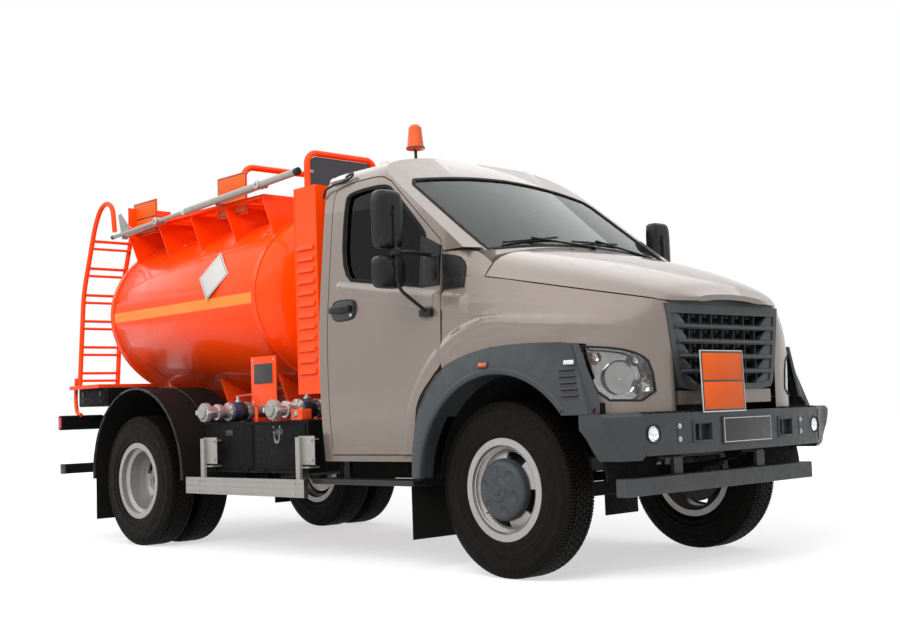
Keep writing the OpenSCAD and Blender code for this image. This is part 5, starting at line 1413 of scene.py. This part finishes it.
# upright panel with a blank sign, and the small fitting beside the front pipe
panel = {"x": -2.365, "z": 1.190}
bm = bmesh.new()
slab(bm, spot(panel["x"], -0.902, panel["z"]), (0.300, 0.340, 0.006), (0, -1, 0))
for dx in (-0.115, 0.115):
    slab(bm, spot(panel["x"] + dx, -0.890, 0.965), (0.034, 0.130, 0.006), (0, -1, 0), 0.001)
slab(bm, spot(panel["x"], -0.906, 1.240), (0.220, 0.140, 0.003), (0, -1, 0), 0.0008, 1)
for dx in (-0.125, 0.125):
    for dz in (-0.145, 0.145):
        stud(bm, spot(panel["x"] + dx, -0.905, panel["z"] + dz), (0, -1, 0), 0.010, 0.004, 2)
slab(bm, spot(-1.890, -0.940, 0.946), (0.120, 0.075, 0.090), (0, -1, 0), 0.008, 0, segments=3)
turned(bm, [(0.0, 0.016), (0.016, 0.015), (0.020, 0.006), (0.022, 0.0)],
       spot(-1.890, -0.986, 0.950), (0, -1, 0), 24, 2)
finishMesh("pumpPanel", bm, ("tank", "plateBlackAndShade", "bright"), "chassis")

# lockers: hinges and a latch on each door
locker = {"x": (-2.660, -2.060), "y": 0.990, "z": 0.735, "wide": 0.56, "tall": 0.300}
bm = bmesh.new()
for side in (-1.0, 1.0):
    for x in locker["x"]:
        face = spot(x, side * locker["y"], locker["z"])
        out = Vector((0, side, 0))
        slab(bm, face + out * 0.003, (locker["wide"], locker["tall"], 0.008), out, 0.004)
        slab(bm, face + out * 0.009 + Vector((0, 0, 0.100)), (0.085, 0.040, 0.008), out, 0.003, 1)
        slab(bm, face + out * 0.012 + Vector((0, 0, 0.100)), (0.050, 0.016, 0.010), out, 0.003, 1)
        for dx in (-0.20, 0.20):
            tintedRod(bm, face + out * 0.010 + Vector((dx - 0.03, 0, -0.152)),
                      face + out * 0.010 + Vector((dx + 0.03, 0, -0.152)), 0.007, 12, 0)
finishMesh("lockerDoors", bm, ("black", "hub"), "chassis")

# side guards: bolted plates on the posts, end caps and slots along the rail
guardRail = 0.4725
bm = bmesh.new()
for side in (-1.0, 1.0):
    out = Vector((0, side, 0))
    for x in (-2.790, -1.660):
        plate = spot(x, side * 1.075, 0.715)
        slab(bm, plate, (0.170, 0.185, 0.006), out)
        for dx in (-0.060, 0.060):
            for dz in (-0.065, 0.065):
                stud(bm, plate + out * 0.003 + Vector((dx, 0, dz)), out, 0.019, 0.009, 1)
    for x in (-2.860, -1.730):
        for dz in (-0.030, 0.030):
            stud(bm, spot(x, side * 1.128, guardRail + dz), out, 0.015, 0.006, 1)
    for dz in (-0.038, 0.0, 0.038):
        slab(bm, spot(-2.3325, side * 1.1285, guardRail + dz), (1.385, 0.005, 0.003), out, 0.001)
    for x in (-3.037, -1.628):
        slab(bm, spot(x, side * 1.113, guardRail), (0.006, 0.117, 0.032), out, 0.002, 2)
finishMesh("sideGuardFittings", bm, ("galvanised", "nut", "dark"), "chassis")

# mudguards: rolled lips and ribs
mudguard = {"x": -3.730, "z": 0.530, "step": 8}
bm = bmesh.new()
for side in (-1.0, 1.0):
    for reach, y, start, count, radius, sides in ((0.657, 1.135, -2, 24, 0.010, 12),
                                                  (0.664, 0.86, 3, 23, 0.006, 8)):
        turns = [math.radians(start + mudguard["step"] * k) for k in range(count)]
        arc = [spot(mudguard["x"] + reach * math.cos(a), side * y,
                    mudguard["z"] + reach * math.sin(a)) for a in turns]
        bentTube(bm, arc, radius, 0.0, sides)
finishMesh("mudguardLips", bm, "dark", "chassis", sharp=60.0)

# tail: lamp blocks, blank number plate, reflectors, under-run caps
tail = {"x": -5.300, "z": 0.950}
bm = bmesh.new()
back = Vector((-1, 0, 0))
for side in (-1.0, 1.0):
    block = spot(tail["x"] - 0.004, side * 0.770, tail["z"])
    slab(bm, block, (0.400, 0.124, 0.020), back, 0.006)
    for dy, wide, slot in ((0.125, 0.110, 2), (0.0, 0.125, 1), (-0.125, 0.110, 3)):
        slab(bm, block + back * 0.011 + Vector((0, side * dy, 0)), (wide, 0.098, 0.016),
             back, 0.006, slot, segments=3)
    turned(bm, [(0.0, 0.010), (0.026, 0.009), (0.032, 0.004), (0.034, 0.0)],
           spot(tail["x"] + 0.04, side * 0.880, 0.560), back, 28, 1)
    slab(bm, spot(tail["x"] + 0.035, side * 0.9865, tail["z"]),
         (0.050, 0.090, 0.004), (0, side, 0), 0.001, 1)
    slab(bm, spot(tail["x"] + 0.085, side * 0.987, 0.560), (0.094, 0.084, 0.006), (0, side, 0), 0.003)
slab(bm, spot(tail["x"] - 0.003, 0.0, tail["z"]), (0.300, 0.160, 0.006), back, 0.003)
slab(bm, spot(tail["x"] - 0.006, 0.0, tail["z"]), (0.286, 0.146, 0.004), back, 0.001, 3)
finishMesh("tailLamps", bm, ("dark", "red", "amber", "plateWhite"), "chassis")
print("ladder, tank fittings, pipes, guards and tail")


# wheel nuts, valves and rim rings
def wheelCentre(node):
    low, high = nodeBox(node)
    return (low + high) / 2


def nodeBox(node):
    points = [v.co for v in frame["nodes"][node].data.vertices]
    return (Vector(min(p[i] for p in points) for i in range(3)),
            Vector(max(p[i] for p in points) for i in range(3)))


def valvePath(middle, out, stations):
    return [middle + Vector((x, 0, z)) + out * y for x, y, z in stations]


frontWheel = {"ring": 0.2335, "studRing": 0.163, "studs": 6,
              "valve": ((-0.150, 0.058, -0.135), (-0.150, 0.085, -0.135), (-0.140, 0.118, -0.125))}
rearWheel = {"face": 0.0165, "nuts": 8, "nutRing": 0.128, "hubStuds": 10, "hubRing": 0.076,
             "valve": ((0.150, 0.030, -0.080), (0.165, 0.090, -0.090), (0.150, 0.150, -0.085))}
for side, hand in ((-1.0, "right"), (1.0, "left")):
    out = Vector((0, side, 0))
    middle = wheelCentre("tyre_front_" + hand)
    bm = bmesh.new()
    # the split lock ring stands just proud of the rim's edge
    turned(bm, [(frontWheel["ring"] - 0.004, 0.094), (frontWheel["ring"] + 0.001, 0.0985),
                (frontWheel["ring"] + 0.006, 0.094)], middle, out, 96, 0)
    for k in range(frontWheel["studs"]):
        turn = math.radians(45 + 60 * k)
        stud(bm, middle + onRing(frontWheel["studRing"], turn) + out * 0.0895, out, 0.012, 0.005, 1)
    tubed(bm, valvePath(middle, out, frontWheel["valve"]), 0.0045, 0.02, 10, 1)
    turned(bm, [(0.0, 0.012), (0.022, 0.010), (0.030, 0.003), (0.031, 0.0)],
           middle + out * 0.161, out, 32, 2)
    finishMesh("wheelFittings.front_" + hand, bm, ("wheel", "nut", "hub"), "wheel_front_" + hand)

    middle = wheelCentre("tyres_rear_" + hand)
    bm = bmesh.new()
    for k in range(rearWheel["nuts"]):
        turn = (k + 0.5) / rearWheel["nuts"] * math.tau
        stud(bm, middle + onRing(rearWheel["nutRing"],
                                 turn) + out * rearWheel["face"], out, 0.027, 0.022, 0)
    for k in range(rearWheel["hubStuds"]):
        turn = k / rearWheel["hubStuds"] * math.tau
        stud(bm, middle + onRing(rearWheel["hubRing"], turn) + out * 0.086, out, 0.014, 0.008, 0)
    turned(bm, [(0.0, 0.102), (0.036, 0.101), (0.044, 0.097), (0.046, 0.094)], middle, out, 40, 1)
    tubed(bm, valvePath(middle, out, rearWheel["valve"]), 0.0045, 0.03, 10, 2)
    finishMesh("wheelFittings.rear_" + hand, bm, ("nut", "hub", "dark"), "wheels_rear_" + hand)
print("wheel fittings")


# seats: crowned cushions on plain bases, with a seam along the edge
# each box: rear, front, low and high
seat = {"voxel": 0.011, "cap": 0.020, "frames": 20, "pressure": 4.0, "inset": 0.014,
        "cushion": (-1.375, -0.856, 1.136, 1.224), "back": (-1.420, -1.346, 1.205, 1.835),
        "base": (-1.340, -0.920, 0.9605, 1.121)}
seatSpans = {"bench": (-0.800, -0.020), "driver": (0.180, 0.780)}


def puffUp(name, bm, body):
    # a slack cover is blown up a little by cloth simulation, and the result is kept in the mesh
    mesh = bpy.data.meshes.new(name)
    bm.to_mesh(mesh)
    bm.free()
    piece = bpy.data.objects.new(name, mesh)
    scene.collection.objects.link(piece)
    remesh = piece.modifiers.new("even", "REMESH")
    remesh.mode = "VOXEL"
    remesh.voxel_size = seat["voxel"]
    settle(piece)
    start = [v.co.copy() for v in piece.data.vertices]
    cloth = piece.modifiers.new("cover", "CLOTH")
    cloth.settings.use_pressure = True
    cloth.settings.uniform_pressure_force = seat["pressure"]
    cloth.settings.effector_weights.gravity = 0.0
    cloth.settings.quality = 4
    cloth.point_cache.frame_start = 1
    cloth.point_cache.frame_end = seat["frames"]
    for step in range(1, seat["frames"] + 1):
        scene.frame_set(step)
    settle(piece)
    scene.frame_set(1)
    for vert, before in zip(piece.data.vertices, start):
        move = vert.co - before
        if move.length > seat["cap"]:
            vert.co = before + move.normalized() * seat["cap"]
    smooth = piece.modifiers.new("fine", "SUBSURF")
    smooth.levels = 1
    smooth.render_levels = 1
    for face in piece.data.polygons:
        face.use_smooth = True
    piece.data.materials.append(paint["cloth"])
    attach(piece, body)
    return piece


def settle(piece):
    # the mesh takes the shape its modifiers give it, and they are removed
    graph = bpy.context.evaluated_depsgraph_get()
    made = bpy.data.meshes.new_from_object(piece.evaluated_get(graph))
    old = piece.data
    piece.modifiers.clear()
    piece.data = made
    bpy.data.meshes.remove(old)


def seatBox(bm, kind, span, inset, radius, segments):
    rear, front, low, high = seat[kind]
    roundBox(bm, spot(rear, span[0] + inset, low), spot(front, span[1] - inset, high), radius, segments)


padded = []
for name, span in seatSpans.items():
    bm = bmesh.new()
    seatBox(bm, "cushion", span, seat["inset"], 0.040, 4)
    padded.append(puffUp("seat.cushion." + name, bm, "chassis"))
    bm = bmesh.new()
    seatBox(bm, "back", span, seat["inset"], 0.034, 4)
    for vert in bm.verts:
        vert.co.x -= (vert.co.z - 1.240) * 0.1
    padded.append(puffUp("seat.back." + name, bm, "chassis"))
bm = bmesh.new()
for name, (y0, y1) in seatSpans.items():
    startFaces(bm)
    seatBox(bm, "base", (y0, y1), 0.080, 0.010, 2)
    tintNew(bm, 0)
    # piping sewn along the cushion's front edge
    rod(bm, spot(-0.848, y0 + 0.07, 1.184), spot(-0.848, y1 - 0.07, 1.184), 0.005, 10)
    tintNew(bm, 1)
finishMesh("seatBases", bm, ("dark", "seal"), "chassis", "seats")
print("seats:", len(padded))

# instruments and switches on the dash
dash = {"dials": (-0.86, 0, 0.5), "switches": (-0.80, 0, 0.6)}
bm = bmesh.new()
slab(bm, spot(-0.505, 0.470, 1.792), (0.360, 0.120, 0.040), dash["dials"], 0.012, 0, segments=3)
for dy, radius in ((-0.09, 0.048), (0.06, 0.048), (0.145, 0.024)):
    centre = spot(-0.523, 0.470 + dy, 1.803)
    turned(bm, [(radius * 1.1, -0.004), (radius * 1.12, 0.006), (radius, 0.006), (radius * 0.97, 0.001),
                (0.0, 0.001)], centre, dash["dials"], 32, 1)
slab(bm, spot(-0.548, -0.05, 1.742), (0.300, 0.130, 0.020), dash["switches"], 0.006)
for k in range(5):
    slab(bm, spot(-0.558, -0.15 + k * 0.05, 1.752), (0.036, 0.026, 0.014), dash["switches"], 0.004, 1)
for k in range(4):
    for j in range(2):
        slab(bm, spot(-0.530, -0.62 + k * 0.075 + j * 0.9, 1.775), (0.060, 0.052, 0.010),
             dash["switches"], 0.003, 1)
finishMesh("dashFittings", bm, ("dark", "plateBlackAndShade"), "chassis")


# solids that keep their shape and take a finish
nodeFinish = {
    "frame": "black", "cross_members": "black", "front_axle": "black", "rear_axle": "black",
    "leaf_springs": "black", "drive_shaft": "black",
    "knuckle_right": "cast", "knuckle_left": "cast", "tie_rod": "black", "engine": "cast",
    "bonnet_hinges": "black",
    "dashboard": "dark", "arch_liners": "flap",
}
bodyOf = {node: body for body, nodes in frame["record"]["behaviour"]["bodies"].items() for node in nodes}
dressed = {
    "cab_shell": ("cab", 0.006), "door_right": ("cab", 0.004), "door_left": ("cab", 0.004),
    "bonnet": ("cab", 0.005),
    "front_wings": ("cab", 0.004), "arch_flares": ("grey", 0.006), "grille": ("grille", 0.003),
    "guard_bar": ("grey", 0.006), "cab_steps": ("dark", 0.004), "tank": ("tank", 0.0),
    "tank_bands": ("tank", 0.002),
    "tank_saddles": ("tank", 0.003), "walkway": ("tank", 0.002), "hatch_lid": ("tank", 0.003),
    "guard_hoops": ("tank", 0.0),
    "pump_cabinet": ("tank", 0.0), "tail_platform": ("tank", 0.003), "tail_beam": ("black", 0.004),
    "mudguards": ("flap", 0.002), "side_lockers": ("black", 0.006), "side_guards": ("galvanised", 0.005),
    "delivery_pipes": ("pipe", 0.002),
    "rail_post_rear": ("galvanised", 0.0), "rail_post_front": ("galvanised", 0.0),
    "hand_rail": ("galvanised", 0.0),
    "windscreen": ("windscreen", 0.0), "door_glass_right": ("sideGlass", 0.0),
    "door_glass_left": ("sideGlass", 0.0),
    "steering_wheel": ("dark", 0.002), "wipers": ("dark", 0.001),
    "beacon": ("amber", 0.002),
    "rim_front_right": ("wheel", 0.002), "rim_front_left": ("wheel", 0.002),
    "rims_rear_right": ("wheel", 0.002), "rims_rear_left": ("wheel", 0.002),
    "hub_cap_right": ("hub", 0.002), "hub_cap_left": ("hub", 0.002),
}
for node, finish in nodeFinish.items():
    data = frame["nodes"][node].data
    data.materials.clear()
    data.materials.append(paint[finish])
for node, (finish, edge) in dressed.items():
    dressNode(node, finish, bodyOf[node], edge, node in ("door_right", "door_left", "front_wings"))
print("solids dressed:", len(dressed))
